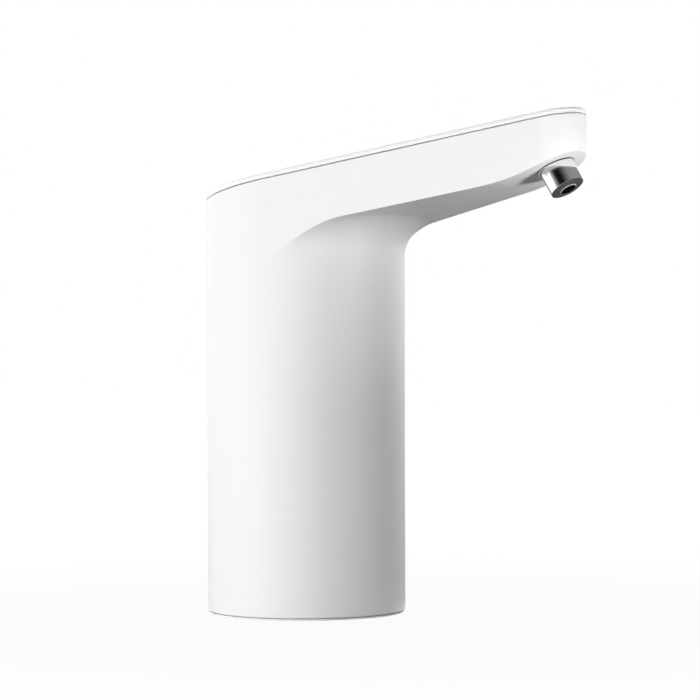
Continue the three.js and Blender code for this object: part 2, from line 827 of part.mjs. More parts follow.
function chassis() {
  const floor = rod(cupRadius, chassisBottom, chassisTop, bigSides);
  const tube = cut(rod(cradleOuter, chassisBottom, shelfTop, middleSides, -cellOffset),
    rod(cradleInner, chassisTop, shelfTop + overrun, middleSides, -cellOffset),
    block(2 * cradleOuter, 2 * cradleOuter, chassisTop, shelfTop + overrun, -cellOffset - cradleOuter));
  const shelfLength = cradleOuter + chargeBoardLength / 2;
  const shelf = block(shelfLength, chargeBoardWidth, shelfBottom, shelfTop, -cellOffset + cradleOuter
    - shelfLength / 2);
  const standoffs = [1, -1].map((side) => rod(standoffRadius, shelfBottom, shelfTop + standoffHeight,
    smallSides, standoffX, side * standoffY));
  const holes = corners.map(([x, y]) => rod(baseScrewRadius + fitGap, chassisBottom - overrun,
    chassisTop + overrun, screwSides, baseScrewReach).rotateZ(Math.atan2(y, x)));
  const pilots = [1, -1].map((side) => rod(boardScrewRadius + snugGap, shelfTop - shelfThick / 2,
    shelfTop + standoffHeight + overrun, screwSides, standoffX, side * standoffY));
  const nutHole = rod(inletNutRadius + fitGap, chassisBottom - overrun, chassisTop + overrun, middleSides);
  return surface(cut(join(floor, tube, shelf, ...standoffs), nutHole, ...holes, ...pilots));
}

// Cell

function batteryCell() {
  return surface(revolve([[0, cellBottom], [cellRadius - cellEdge, cellBottom], [cellRadius,
    cellBottom + cellEdge], [cellRadius, cellTop - cellEdge], [cellRadius - cellEdge, cellTop],
    [cellNub, cellTop], [cellNub, cellTop + cellNubHeight], [0, cellTop + cellNubHeight]], middleSides));
}

function cellContact(bottom) {
  return surface(block(contactSide, contactSide, bottom, bottom + contactThick));
}

// Gear pump

function involute(angle) {
  return Math.tan(angle) - angle;
}

// Half of a tooth's angular thickness, at a radius
function halfTooth(radius) {
  const baseRadius = pitchRadius * Math.cos(pressureAngle);
  const angle = radius > baseRadius ? Math.acos(baseRadius / radius) : 0;
  const atPitch = Math.PI / (2 * gearTeeth) - backlash / (2 * pitchRadius);
  return atPitch + involute(pressureAngle) - involute(angle);
}

function gearShape(phase, bore) {
  const baseRadius = pitchRadius * Math.cos(pressureAngle);
  const radii = [rootRadius];
  for (let i = 0; i <= flankSteps; i += 1) radii.push(baseRadius + (tipRadius - baseRadius) * i / flankSteps);
  const points = [];
  for (let tooth = 0; tooth < gearTeeth; tooth += 1) {
    const middle = phase + 2 * Math.PI * tooth / gearTeeth;
    const polar = (radius, angle) => new THREE.Vector2(radius * Math.cos(angle), radius * Math.sin(angle));
    radii.forEach((radius) => points.push(polar(radius, middle - halfTooth(radius))));
    [...radii].reverse().forEach((radius) => points.push(polar(radius, middle + halfTooth(radius))));
  }
  const shape = new THREE.Shape(points);
  shape.holes.push(new THREE.Path().absarc(0, 0, bore, 0, 2 * Math.PI));
  return shape;
}

function gear(phase, bore) {
  const bottom = chamberBottom + gearPlay;
  return surface(prism(gearShape(phase, bore), bottom, bottom + gearHeight, middleSides));
}

function ears() {
  return corners.map(([x, y]) => [x * earReachX, y * earReachY]);
}

function pumpBody() {
  const barrels = prism(stadium(pitchRadius, pumpRadius), pumpBottom, chamberTop);
  const lugs = ears().map(([x, y]) => rod(earRadius, pumpBottom, chamberTop, smallSides, x, y));
  const spigotEnd = pumpRadius + spigotLength;
  const spigot = join(rod(spigotRadius, pumpRadius - overrun, spigotEnd, hoseSides),
    rod(spigotRadius + spigotBarb, spigotEnd - 2 * spigotRadius, spigotEnd, hoseSides, 0, 0, spigotRadius
      - spigotBarb));
  const turned = surface(spigot).rotateY(Math.PI / 2).translate(0, 0, outletHeight);
  const chambers = [1, -1].map((side) => rod(chamberRadius, chamberBottom, chamberTop + overrun, chamberSides,
    0, side * pitchRadius));
  const ports = [1, -1].map((side) => rod(portRadius, chamberBottom - roundOff, chamberTop + overrun,
    smallSides, side * portOffset));
  const inlet = rod(portRadius, pumpBottom, chamberTop, smallSides, -portOffset);
  const inletSeat = rod(inletTopRadius + fitGap, pumpBottom - overrun, pumpBottom + pumpFloor - 2 * snugGap,
    middleSides, -portOffset);
  const outlet = rod(portRadius, portOffset, spigotEnd + overrun, hoseSides).rotateY(Math.PI / 2)
    .translate(0, 0, outletHeight);
  const groove = prism(stadium(pitchRadius, gasketOuter), chamberTop - gasketDepth, chamberTop + overrun);
  const grooveCore = prism(stadium(pitchRadius, gasketOuter - gasketWidth), chamberTop - gasketDepth - overrun,
    chamberTop + 2 * overrun);
  const pinHole = rod(idlerPinRadius + snugGap, chamberBottom - idlerPinBite, chamberBottom + overrun,
    smallSides, 0, pitchRadius);
  const screwHoles = ears().map(([x, y]) => join(rod(pumpScrewRadius + snugGap, pumpBottom - overrun,
    chamberTop + overrun, screwSides, x, y), rod(pumpScrewHead + fitGap, pumpBottom - overrun, pumpBottom
    + pumpScrewHeadHeight + fitGap, smallSides, x, y)));
  return surface(cut(join(barrels, turned, ...lugs), ...chambers, ...ports, inlet, inletSeat, outlet,
    cut(groove, grooveCore), pinHole, ...screwHoles));
}

function pumpCover() {
  const plate = prism(stadium(pitchRadius, pumpRadius), pumpCoverBottom, pumpCoverTop);
  const lugs = ears().map(([x, y]) => rod(earRadius, pumpCoverBottom, pumpCoverTop, smallSides, x, y));
  const cupOuter = motorRadius + snugGap + motorCupWall;
  const cup = rod(cupOuter, pumpCoverBottom, pumpCoverTop + motorCupHeight, middleSides, 0, -pitchRadius);
  const cupHole = rod(motorRadius + snugGap, pumpCoverTop, pumpCoverTop + motorCupHeight + overrun, middleSides,
    0, -pitchRadius);
  const bossSeat = rod(motorBossRadius + fitGap, pumpCoverTop - motorBossHeight, pumpCoverTop + overrun,
    middleSides, 0, -pitchRadius);
  const shaftHole = rod(shaftRadius + fitGap, pumpCoverBottom - overrun, pumpCoverTop + overrun, smallSides, 0,
    -pitchRadius);
  const sealSeat = rod(sealRadius + snugGap, pumpCoverBottom - overrun, pumpCoverBottom + sealHeight + snugGap,
    middleSides, 0, -pitchRadius);
  const pinHole = rod(idlerPinRadius + snugGap, pumpCoverBottom - overrun, pumpCoverBottom + idlerPinBite,
    smallSides, 0, pitchRadius);
  const pilots = ears().map(([x, y]) => rod(pumpScrewRadius + snugGap, pumpCoverBottom - overrun,
    pumpCoverBottom + pumpScrewBite + snugGap, screwSides, x, y));
  return surface(cut(join(plate, cup, ...lugs), cupHole, bossSeat, shaftHole, sealSeat, pinHole, ...pilots));
}

function pumpGasket() {
  const outer = stadium(pitchRadius, gasketOuter - snugGap);
  outer.holes.push(stadium(pitchRadius, gasketOuter - gasketWidth + snugGap));
  return surface(prism(outer, chamberTop - gasketDepth + snugGap, pumpCoverBottom - snugGap));
}

function shaftSeal() {
  return surface(pipe(sealRadius, shaftRadius + snugGap, pumpCoverBottom + snugGap / 2, pumpCoverBottom
    + sealHeight, middleSides));
}

function idlerPin() {
  return surface(rod(idlerPinRadius, chamberBottom - idlerPinBite + snugGap, pumpCoverBottom + idlerPinBite
    - snugGap, smallSides));
}

function pumpScrew() {
  const headTop = pumpBottom + snugGap + pumpScrewHeadHeight;
  const length = pumpCoverBottom + pumpScrewBite - headTop;
  return surface(screw(pumpScrewRadius, pumpScrewHead, pumpScrewHeadHeight, length)
    .rotateX(Math.PI).translate(0, 0, headTop + length));
}

// Motor

const magnetOuter = motorRadius - motorWall - fitGap;
const coreRadius = magnetOuter - magnetThick - airGap;
const coreBottom = motorBottom + (motorLength - coreHeight) / 2;
const coreTop = coreBottom + coreHeight;
const endBossTop = endCapTop + endBossHeight;

function motorCan() {
  const inner = motorRadius - motorWall;
  const bore = shaftRadius + bearingGap;
  return surface(revolve([[bore, motorBottom - motorBossHeight + snugGap], [motorBossRadius, motorBottom
    - motorBossHeight + snugGap], [motorBossRadius, motorBottom], [motorRadius - motorEdge, motorBottom],
    [motorRadius, motorBottom + motorEdge], [motorRadius, motorTop], [inner, motorTop],
    [inner, motorBottom + motorEdge], [inner - motorEdge, motorBottom + motorWall],
    [bore, motorBottom + motorWall]], middleSides));
}

function motorEndCap() {
  const bottom = motorTop + snugGap;
  const plug = motorRadius - motorWall - snugGap;
  const bore = shaftRadius + bearingGap;
  const cap = revolve([[bore, bottom - endCapPlug / 2], [motorBossRadius, bottom - endCapPlug / 2],
    [motorBossRadius, bottom], [plug - cradleWall, bottom], [plug - cradleWall, bottom - endCapPlug],
    [plug, bottom - endCapPlug], [plug, bottom], [motorRadius, bottom], [motorRadius, endCapTop],
    [motorBossRadius, endCapTop], [motorBossRadius, endBossTop], [bore, endBossTop]], middleSides);
  const slots = [1, -1].map((side) => block(terminalWidth + 2 * snugGap, terminalThick + 2 * snugGap,
    bottom - overrun, endCapTop + overrun, 0, side * motorRadius * terminalShare));
  return surface(cut(cap, ...slots));
}

function motorTerminal() {
  return surface(block(terminalWidth, terminalThick, motorTop + snugGap, endCapTop + terminalProud));
}

function motorMagnet() {
  const inner = magnetOuter - magnetThick;
  const shape = new THREE.Shape();
  shape.absarc(0, 0, magnetOuter, -magnetSpan / 2, magnetSpan / 2);
  shape.absarc(0, 0, inner, magnetSpan / 2, -magnetSpan / 2, true);
  return surface(prism(shape, coreBottom - magnetOverhang, coreTop + magnetOverhang));
}

function rotorCore() {
  const hub = rod(coreHub, coreBottom, coreTop, middleSides);
  const poles = [];
  for (let i = 0; i < corePoles; i += 1) {
    const angle = 2 * Math.PI * i / corePoles;
    const shape = new THREE.Shape();
    shape.absarc(0, 0, coreRadius, -corePoleSpan / 2, corePoleSpan / 2);
    shape.absarc(0, 0, coreRadius - corePole, corePoleSpan / 2, -corePoleSpan / 2, true);
    const webReach = coreRadius - corePole / 2;
    const web = block(webReach, 2 * coreNeck, coreBottom, coreTop, webReach / 2);
    poles.push(prism(shape, coreBottom, coreTop).rotateZ(angle), web.rotateZ(angle));
  }
  return surface(cut(join(hub, ...poles), rod(shaftRadius + snugGap, coreBottom - overrun, coreTop + overrun,
    smallSides)));
}

function commutator() {
  const bottom = coreTop + fitGap;
  return surface(pipe(commutatorRadius, shaftRadius + snugGap, bottom, bottom + commutatorHeight, smallSides));
}

function motorShaft() {
  return surface(rod(shaftRadius, chamberBottom + gearPlay, endBossTop - snugGap, smallSides));
}

// Delivery hose: up from the pump along the body's wall, through the head and down into the spout

function crossing(pointA, directionA, pointB, directionB) {
  const between = pointB.clone().sub(pointA);
  const along = between.cross(directionB) / directionA.cross(directionB);
  return pointA.clone().addScaledVector(directionA, along);
}

// Straight runs from stop to stop, with the corners rounded by arcs
function bentPath(stops, radii) {
  const path = new THREE.Path().moveTo(stops[0].x, stops[0].y);
  for (let i = 1; i < stops.length - 1; i += 1) {
    const radius = radii[i - 1];
    const before = stops[i].clone().sub(stops[i - 1]).normalize();
    const after = stops[i + 1].clone().sub(stops[i]).normalize();
    const turn = Math.sign(before.cross(after));
    const bend = Math.acos(before.dot(after));
    const start = stops[i].clone().addScaledVector(before, -radius * Math.tan(bend / 2));
    const centre = new THREE.Vector2(start.x - turn * before.y * radius, start.y + turn * before.x * radius);
    const from = Math.atan2(start.y - centre.y, start.x - centre.x);
    path.lineTo(start.x, start.y);
    path.absarc(centre.x, centre.y, radius, from, from + turn * bend, turn < 0);
  }
  const end = stops[stops.length - 1];
  return path.lineTo(end.x, end.y);
}

// Rings that stand square to a route in the middle plane, skinned into one body
function tube(route, radius, sides) {
  const runs = route.slice(1).map((point, i) => point.clone().sub(route[i]).normalize());
  return loft(route.map((point, i) => {
    const along = (runs[i - 1] ?? runs[i]).clone().add(runs[i] ?? runs[i - 1]).normalize();
    const ring = [];
    for (let side = 0; side < sides; side += 1) {
      const angle = 2 * Math.PI * side / sides;
      const out = radius * Math.cos(angle);
      ring.push(new THREE.Vector3(point.x - along.y * out, radius * Math.sin(angle), point.y + along.x * out));
    }
    return ring;
  }));
}

function hosePath() {
  const start = new THREE.Vector2(hoseStartX, outletHeight);
  const rise = new THREE.Vector2(hoseRiseX, outletHeight);
  const along = new THREE.Vector2(Math.cos(headSlope), Math.sin(headSlope));
  const headStart = new THREE.Vector2(hoseRiseX, seamAt(hoseRiseX) - hoseDrop);
  const outlet = new THREE.Vector2(spoutReach, spoutHeight);
  const noseCorner = crossing(headStart, along, outlet, spoutAxis);
  const end = outlet.clone().addScaledVector(spoutAxis, insertFlange + insertPlug + fitGap);
  return bentPath([start, rise, headStart, noseCorner, end], [hoseFirstBend, hoseHeadBend, hoseNoseBend]);
}

function deliveryHose() {
  const points = hosePath().getPoints(bendSteps);
  const route = points.filter((point, i) => i === 0 || point.distanceTo(points[i - 1]) > roundOff);
  const beyond = (end, next) => end.clone().add(end.clone().sub(next).setLength(overrun));
  const boreRoute = [beyond(route[0], route[1]), ...route, beyond(route.at(-1), route.at(-2))];
  return surface(cut(tube(route, hoseRadius, hoseSides), tube(boreRoute, hoseBore, hoseSides)));
}

// Spout

// The flange lies on the floor of the head, whatever the floor's shape
function collarSeat() {
  const seat = housingWall + fitGap;
  const layer = cut(cavity(seat), cavity(seat + collarFlangeThick));
  return common(layer, rod(collarFlange, 0, collarLength, middleSides).applyMatrix4(spoutFrame));
}

function spoutCollar() {
  const inner = spoutRadius + snugGap;
  const sleeve = rod(inner + collarWall, 0, collarLength, middleSides).applyMatrix4(spoutFrame);
  const facePoint = spoutAxis.clone().multiplyScalar(collarFaceReach);
  const face = block(4 * spoutRadius, 4 * spoutRadius, -4 * spoutRadius, 0).rotateY(-collarFaceSlope)
    .translate(spoutReach + facePoint.x, 0, spoutHeight + facePoint.y);
  const bore = rod(inner, -overrun, collarLength + collarFlange, middleSides).applyMatrix4(spoutFrame);
  return surface(cut(join(sleeve, collarSeat()), face, bore));
}

function spoutTube() {
  return surface(pipe(spoutRadius, spoutRadius - spoutWall, insertFlange + snugGap, spoutLength, middleSides));
}

function nozzleInsert() {
  const face = spoutRadius;
  const plug = spoutRadius - spoutWall - snugGap;
  const plugTop = insertFlange + insertPlug;
  return surface(revolve([[insertBore, insertChamfer], [insertBore + insertChamfer, 0], [face - insertEdge, 0],
    [face, insertEdge], [face, insertFlange], [plug, insertFlange], [plug, plugTop], [spigotRadius, plugTop],
    [spigotRadius, plugTop + insertSpigot], [insertBore, plugTop + insertSpigot]], middleSides));
}

// Charging socket and its cover

function chargingBoard() {
  const board = block(chargeBoardLength, chargeBoardWidth, chargeBoardBottom, chargeBoardTop, chargeBoardX);
  const holes = [1, -1].map((side) => rod(boardScrewRadius + fitGap, chargeBoardBottom - overrun,
    chargeBoardTop + overrun, screwSides, standoffX, side * standoffY));
  return surface(cut(board, ...holes));
}

const socketMouth = -(bodyRadius - portFlapInset - portFlapThick - 2 * fitGap);

function chargingSocket() {
  const corner = socketHeight * socketCornerShare;
  const inner = roundedRectangle(socketWidth - 2 * socketShell, socketHeight - 2 * socketShell,
    corner - socketShell);
  const shell = cut(prism(roundedRectangle(socketWidth, socketHeight, corner), 0, socketLength, cornerSides),
    prism(inner, socketShell, socketLength + overrun, cornerSides));
  const tongue = block(tongueWidth, tongueThick, 0, socketLength - tongueSetback);
  const socket = surface(join(shell, tongue)).rotateZ(Math.PI / 2).rotateY(-Math.PI / 2);
  return socket.translate(socketMouth + socketLength, 0, portHeight);
}

function chargeScrew() {
  const length = chargeBoardThick + standoffHeight + fitGap;
  return surface(screw(boardScrewRadius, boardScrewHead, boardScrewHeadHeight, length)
    .translate(0, 0, chargeBoardTop + fitGap - length));
}

function portCover() {
  const outer = bodyRadius - portFlapInset;
  const inner = outer - portFlapThick;
  const bottom = portHeight - portFlapHeight / 2;
  const top = portHeight + portFlapHeight / 2;
  const width = portFlapReach + portHingeReach;
  const shell = cut(rod(outer, bottom, top, portSides), rod(inner, bottom - overrun, top + overrun,
    portSides));
  const plate = common(shell, block(2 * bodyRadius, width, bottom, top, -bodyRadius,
    portHingeReach - width / 2));
  const barrel = rod(portBarrel, bottom, top, smallSides, portHingeX, portHingeReach);
  const plugFront = socketMouth + portPlugDepth;
  const plugBack = -inner;
  const plug = block(plugFront - plugBack + portFlapThick / 2, portPlugWidth, portHeight - portPlugHeight / 2,
    portHeight + portPlugHeight / 2, (plugFront + plugBack - portFlapThick / 2) / 2);
  const pinHole = rod(portPin + bearingGap, bottom - overrun, top + overrun, smallSides, portHingeX,
    portHingeReach);
  return surface(cut(join(plate, barrel, plug), pinHole));
}

function portHingePin() {
  const half = portFlapHeight / 2 + portPinBite;
  return surface(rod(portPin, portHeight - half, portHeight + half, screwSides, portHingeX, portHingeReach));
}

// Finishes

const whiteShell = new THREE.MeshStandardMaterial({ color: 0xf3f3f1, roughness: 0.5, metalness: 0 });
const whiteLid = new THREE.MeshStandardMaterial({ color: 0xf6f6f5, roughness: 0.35, metalness: 0 });
const paleRing = new THREE.MeshStandardMaterial({ color: 0xe9eef0, roughness: 0.3, metalness: 0 });
const steel = new THREE.MeshStandardMaterial({ color: 0xb8babc, roughness: 0.25, metalness: 1 });
const zincSteel = new THREE.MeshStandardMaterial({ color: 0x9fa2a5, roughness: 0.35, metalness: 1 });
const brass = new THREE.MeshStandardMaterial({ color: 0xc3a35c, roughness: 0.35, metalness: 1 });
const darkRubber = new THREE.MeshStandardMaterial({ color: 0x3e3f40, roughness: 0.7, metalness: 0 });
const greyRubber = new THREE.MeshStandardMaterial({ color: 0xc9cac8, roughness: 0.65, metalness: 0 });
const clearRubber = new THREE.MeshStandardMaterial({ color: 0xe4e6e3, roughness: 0.4, metalness: 0 });
const greyPlastic = new THREE.MeshStandardMaterial({ color: 0x8d9092, roughness: 0.55, metalness: 0 });
const blackPlastic = new THREE.MeshStandardMaterial({ color: 0x26272a, roughness: 0.5, metalness: 0 });
const naturalPlastic = new THREE.MeshStandardMaterial({ color: 0xe8e3d2, roughness: 0.45, metalness: 0 });
const boardGreen = new THREE.MeshStandardMaterial({ color: 0x1f5a3c, roughness: 0.45, metalness: 0 });
const cellWrap = new THREE.MeshStandardMaterial({ color: 0x3f7f9c, roughness: 0.4, metalness: 0 });
const ferrite = new THREE.MeshStandardMaterial({ color: 0x35363a, roughness: 0.7, metalness: 0 });

// Assembly

function place(parent, name, geometry, material, x = 0, y = 0, z = 0) {
  const mesh = new THREE.Mesh(geometry, material);
  mesh.name = name;
  mesh.position.set(x, y, z);
  parent.add(mesh);
  return mesh;
}

const group = new THREE.Group();
group.position.x = -(noseReach + noseRadius - bodyRadius) / 2;

place(group, 'main_housing', mainHousing(), whiteShell);
place(group, 'top_cover', topCover(), whiteLid);

const lidGroup = new THREE.Group();
lidGroup.rotation.y = -headSlope;
lidGroup.position.z = seamAt(0) + lidRise;
group.add(lidGroup);
place(lidGroup, 'light_ring', lightRing(), paleRing);
place(lidGroup, 'power_button', powerButton(), whiteLid);
place(lidGroup, 'switch_plunger', switchPlunger(), blackPlastic);
place(lidGroup, 'switch_body', switchBody(), zincSteel);
place(lidGroup, 'control_board', controlBoard(), boardGreen);
place(lidGroup, 'status_led', statusLed(), paleRing);
corners.forEach(([x, y], i) => {
  place(lidGroup, `board_screw_${i + 1}`, boardScrew(), zincSteel, x * postX, y * postY);
});

place(group, 'base_cup', baseCup(), whiteShell);
place(group, 'neck_sleeve', neckSleeve(), greyRubber);
place(group, 'inlet_fitting', inletFitting(), steel);
place(group, 'inlet_seal', inletSeal(), darkRubber);
place(group, 'inlet_nut', inletNut(), steel);
corners.forEach(([x, y], i) => {
  const reach = baseScrewReach * Math.SQRT1_2;
  place(group, `base_screw_${i + 1}`, baseScrew(), zincSteel, x * reach, y * reach);
});

place(group, 'chassis', chassis(), greyPlastic);
place(group, 'battery_cell', batteryCell(), cellWrap, -cellOffset);
place(group, 'cell_contact_lower', cellContact(chassisTop + fitGap), zincSteel, -cellOffset);
place(group, 'cell_contact_upper', cellContact(cellTop + cellNubHeight + fitGap), zincSteel, -cellOffset);

const pumpGroup = new THREE.Group();
pumpGroup.position.x = pumpX;
group.add(pumpGroup);
place(pumpGroup, 'pump_body', pumpBody(), naturalPlastic);
place(pumpGroup, 'pump_cover', pumpCover(), naturalPlastic);
place(pumpGroup, 'pump_gasket', pumpGasket(), darkRubber);
place(pumpGroup, 'shaft_seal', shaftSeal(), darkRubber, 0, -pitchRadius);
place(pumpGroup, 'drive_gear', gear(Math.PI / 2, shaftRadius + snugGap), blackPlastic, 0, -pitchRadius);
place(pumpGroup, 'driven_gear', gear(-Math.PI / 2 + Math.PI / gearTeeth, idlerPinRadius + bearingGap),
  blackPlastic, 0, pitchRadius);
place(pumpGroup, 'idler_pin', idlerPin(), steel, 0, pitchRadius);
ears().forEach(([x, y], i) => place(pumpGroup, `pump_screw_${i + 1}`, pumpScrew(), zincSteel, x, y));

const motorGroup = new THREE.Group();
motorGroup.position.y = -pitchRadius;
pumpGroup.add(motorGroup);
place(motorGroup, 'motor_can', motorCan(), zincSteel);
place(motorGroup, 'motor_end_cap', motorEndCap(), blackPlastic);
place(motorGroup, 'motor_shaft', motorShaft(), steel);
place(motorGroup, 'rotor_core', rotorCore(), ferrite);
place(motorGroup, 'commutator', commutator(), brass);
[1, -1].forEach((side, i) => {
  place(motorGroup, `motor_magnet_${i + 1}`, motorMagnet().rotateZ(Math.PI * i), ferrite);
  place(motorGroup, `motor_terminal_${i + 1}`, motorTerminal(), brass, 0, side * motorRadius * terminalShare);
});

place(group, 'delivery_hose', deliveryHose(), clearRubber);

const spoutGroup = new THREE.Group();
spoutGroup.position.set(spoutReach, 0, spoutHeight);
spoutGroup.rotation.y = -spoutTilt;
group.add(spoutGroup);
place(group, 'spout_collar', spoutCollar(), whiteShell);
place(spoutGroup, 'spout_tube', spoutTube(), steel);
place(spoutGroup, 'nozzle_insert', nozzleInsert(), darkRubber);

place(group, 'charging_board', chargingBoard(), boardGreen);
place(group, 'charging_socket', chargingSocket(), steel);
[1, -1].forEach((side, i) => {
  place(group, `charge_screw_${i + 1}`, chargeScrew(), zincSteel, standoffX, side * standoffY);
});
place(group, 'port_cover', portCover(), greyRubber);
place(group, 'port_hinge_pin', portHingePin(), steel);

export default group;
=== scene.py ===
import json
import math

import bmesh
import bpy
from mathutils import Matrix, Vector


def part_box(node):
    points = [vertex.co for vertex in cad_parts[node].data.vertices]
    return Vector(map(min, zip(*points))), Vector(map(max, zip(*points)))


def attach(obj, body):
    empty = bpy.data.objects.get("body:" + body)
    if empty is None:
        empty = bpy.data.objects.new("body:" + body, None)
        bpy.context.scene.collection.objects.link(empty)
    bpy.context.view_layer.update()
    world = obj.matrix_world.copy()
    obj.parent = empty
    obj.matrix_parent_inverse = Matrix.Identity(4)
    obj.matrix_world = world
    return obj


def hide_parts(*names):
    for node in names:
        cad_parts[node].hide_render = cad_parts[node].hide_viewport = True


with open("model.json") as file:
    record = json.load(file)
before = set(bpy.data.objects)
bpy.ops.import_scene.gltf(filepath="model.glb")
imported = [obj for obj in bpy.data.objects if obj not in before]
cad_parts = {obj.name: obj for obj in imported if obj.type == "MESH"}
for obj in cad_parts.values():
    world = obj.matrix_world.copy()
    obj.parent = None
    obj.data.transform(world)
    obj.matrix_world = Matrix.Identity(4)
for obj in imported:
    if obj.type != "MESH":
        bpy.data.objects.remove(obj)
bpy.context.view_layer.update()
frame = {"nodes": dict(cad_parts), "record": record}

bl_info = {
    "name": "Bottle Pump",
    "version": (1, 0, 0),
    "blender": (4, 5, 0),
    "location": "3D View > Sidebar > Pump",
    "description": "Dresses the packed model of an electric pump for large water bottles and lights it",
    "category": "Object",
}

MM = 0.001
BODY_AXIS = Vector((sum(corner.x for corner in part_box("base_cup")) / 2, 0, 0))

# How finely the curved faces are drawn
NOSE_STEPS = 22
RAMP_STEPS = 26
THROAT_COLUMNS = 30
SHOULDER_STEPS = 8
BACK_STEPS = 44
THROAT_ROWS = 16
FLOOR_ROWS = 12
INNER_THROAT_ROWS = 8
INNER_FLOOR_ROWS = 3
EDGE_ROWS = 5
DISH_STEPS = 12
BEND_STEPS = 14
SIDE_PARTS = 14
COVER_REACHES = (0, 0.35, 0.7, 1)
SEARCH_STEPS = 12
CARD_STEPS = 48
ROUND_SIDES = 144
SMALL_SIDES = 48
SHARP_ANGLE = math.radians(32)
RIB_ANGLE = math.radians(60)
BEND_ANGLE = math.radians(50)

# Gaps and rounded edges that several pieces share
FIT = 0.3 * MM  # between pieces that are seated on one another
SNUG = 0.1 * MM  # between a round piece and its bore
COLLAR_GAPS = 4 * SNUG  # of the spout's collar, to the tube and to the housing together
SAME = 0.02 * MM  # lengths closer than this are the same
WELD = 1e-4 * MM  # points closer than this become one
SOFT_EDGE = 0.3 * MM
FINE_EDGE = 0.15 * MM
TRIM_EDGE = 0.12 * MM  # on the pieces of the spout

# The charging cover's hinge, then the window behind the cover and the plug on its inner face, each as half the
# width, half the height and the corner
BARREL_RADIUS = 0.7 * MM
BARREL_GAP = 0.25 * MM
PIN_RADIUS = 0.3 * MM
PIN_GAP = 0.08 * MM
PIN_BITE = 1.5 * MM
WINDOW = (4.77 * MM, 1.9 * MM, 1.6 * MM)
PLUG = (3.7 * MM, 0.85 * MM, 0.8 * MM)
PLUG_DEPTH = 0.8 * MM

# The screws through the cup
SCREW_RADIUS = 1.2 * MM
SCREW_CORE = 0.85  # share of that radius between two turns of the thread
SCREW_HEAD = 2.5 * MM
SCREW_HEAD_HEIGHT = 1.5 * MM
SCREW_LENGTH = 14.1 * MM
SCREW_POINT = 0.5 * MM
SCREW_PITCH = 0.8 * MM
SCREW_FLANK = 0.3 * MM  # from a crest of the thread down to its root
SCREW_RUNOUT = 1.2 * MM  # without thread, at both ends
SCREW_CREST = 0.05 * MM  # rounding of the thread
SCREW_CROWN = 0.6 * MM  # rounding of the head
SCREW_CROSS = (1.5 * MM, 0.33 * MM, 0.9 * MM)  # half its length, half its width and its depth


def linear(code):
    """The linear value of an sRGB hex colour"""
    parts = [int(code[i:i + 2], 16) / 255 for i in (1, 3, 5)]
    return tuple(p / 12.92 if p <= 0.04045 else ((p + 0.055) / 1.055) ** 2.4 for p in parts)


# Settings: the sizes and colours that a user would change

def length(name, millimetres, description):
    return bpy.props.FloatProperty(name=name, description=description, default=millimetres * MM, precision=5,
                                   subtype="DISTANCE", unit="LENGTH")


def turn(name, degrees, description):
    return bpy.props.FloatProperty(name=name, description=description, default=math.radians(degrees),
                                   subtype="ANGLE", unit="ROTATION")


def colour(name, value, description):
    return bpy.props.FloatVectorProperty(name=name, description=description, default=linear(value), size=3,
                                         min=0, max=1, subtype="COLOR")


def share(name, value, description):
    return bpy.props.FloatProperty(name=name, description=description, default=value, min=0, subtype="FACTOR")


class HousingSettings(bpy.types.PropertyGroup):
    body_radius: length("Body radius", 35, "Radius of the upright body at the lid's seam")
    foot_radius: length("Foot radius", 34.8, "Radius of the body at its lower edge")
    foot_height: length("Foot height", 0.8, "Height of the body's lower edge over the table")
    nose_radius: length("Nose radius", 11.8, "Radius of the head's far end")
    nose_reach: length("Nose reach", 102.6, "From the body's axis to the nose's axis")
    seam_height: length("Seam height", 149.4, "Height of the lid's seam on the body's axis")
    head_slope: turn("Head slope", 10, "How far the seam and the lid rise towards the nose")
    head_depth: length("Head depth", 18.65, "From the seam down to the head's underside")
    ramp_reach: length("Ramp reach", 84.5, "Where the underside starts to rise more steeply")
    ramp_blend: length("Ramp blend", 76, "Radius of the underside's bend into the ramp")
    ramp_slope: turn("Ramp slope", 26, "Slope of the underside below the nose")
    throat_radius: length("Throat radius", 10.3, "Radius of the hollow blend between body and head")
    wall: length("Wall", 2.2, "Thickness of the moulded wall")
    edge_radius: length("Edge radius", 0.2, "Rounding of the head's lower edge")
    fade_radius: length("Fade radius", 16, "Rounding of that edge where it runs out into the body")
    fade_overhang: length("Fade overhang", 2.4, "Overhang of the head from which on the edge is crisp")
    rim_radius: length("Rim radius", 0.35, "Rounding on each side of the lid's seam")
    seam_gap: length("Seam gap", 0.3, "Gap between the housing and the lid")
    shell: colour("Shell", "#f3f3f3", "Colour of the moulded housing")


class LidSettings(bpy.types.PropertyGroup):
    rise: length("Rise", 2, "Height of the lid over its seam")
    edge: length("Edge", 1, "Rounding of the lid's rim")
    skirt_depth: length("Skirt depth", 4, "How far the lid's skirt reaches into the housing")
    skirt_wall: length("Skirt wall", 1.4, "Thickness of the skirt")
    cover: colour("Cover", "#fafafa", "Colour of the lid and its button")


class ButtonSettings(bpy.types.PropertyGroup):
    radius: length("Radius", 10.6, "Radius of the push button")
    edge: length("Edge", 0.4, "Rounding of the button's edge")
    dish: length("Dish", 0.35, "How far the button's face is hollowed")
    cap: length("Cap", 1.7, "Thickness of the button's face")
    flange: length("Flange", 11.9, "Radius of the flange that keeps the button in")
    ring_width: length("Ring width", 1.7, "Width of the light ring round the button")


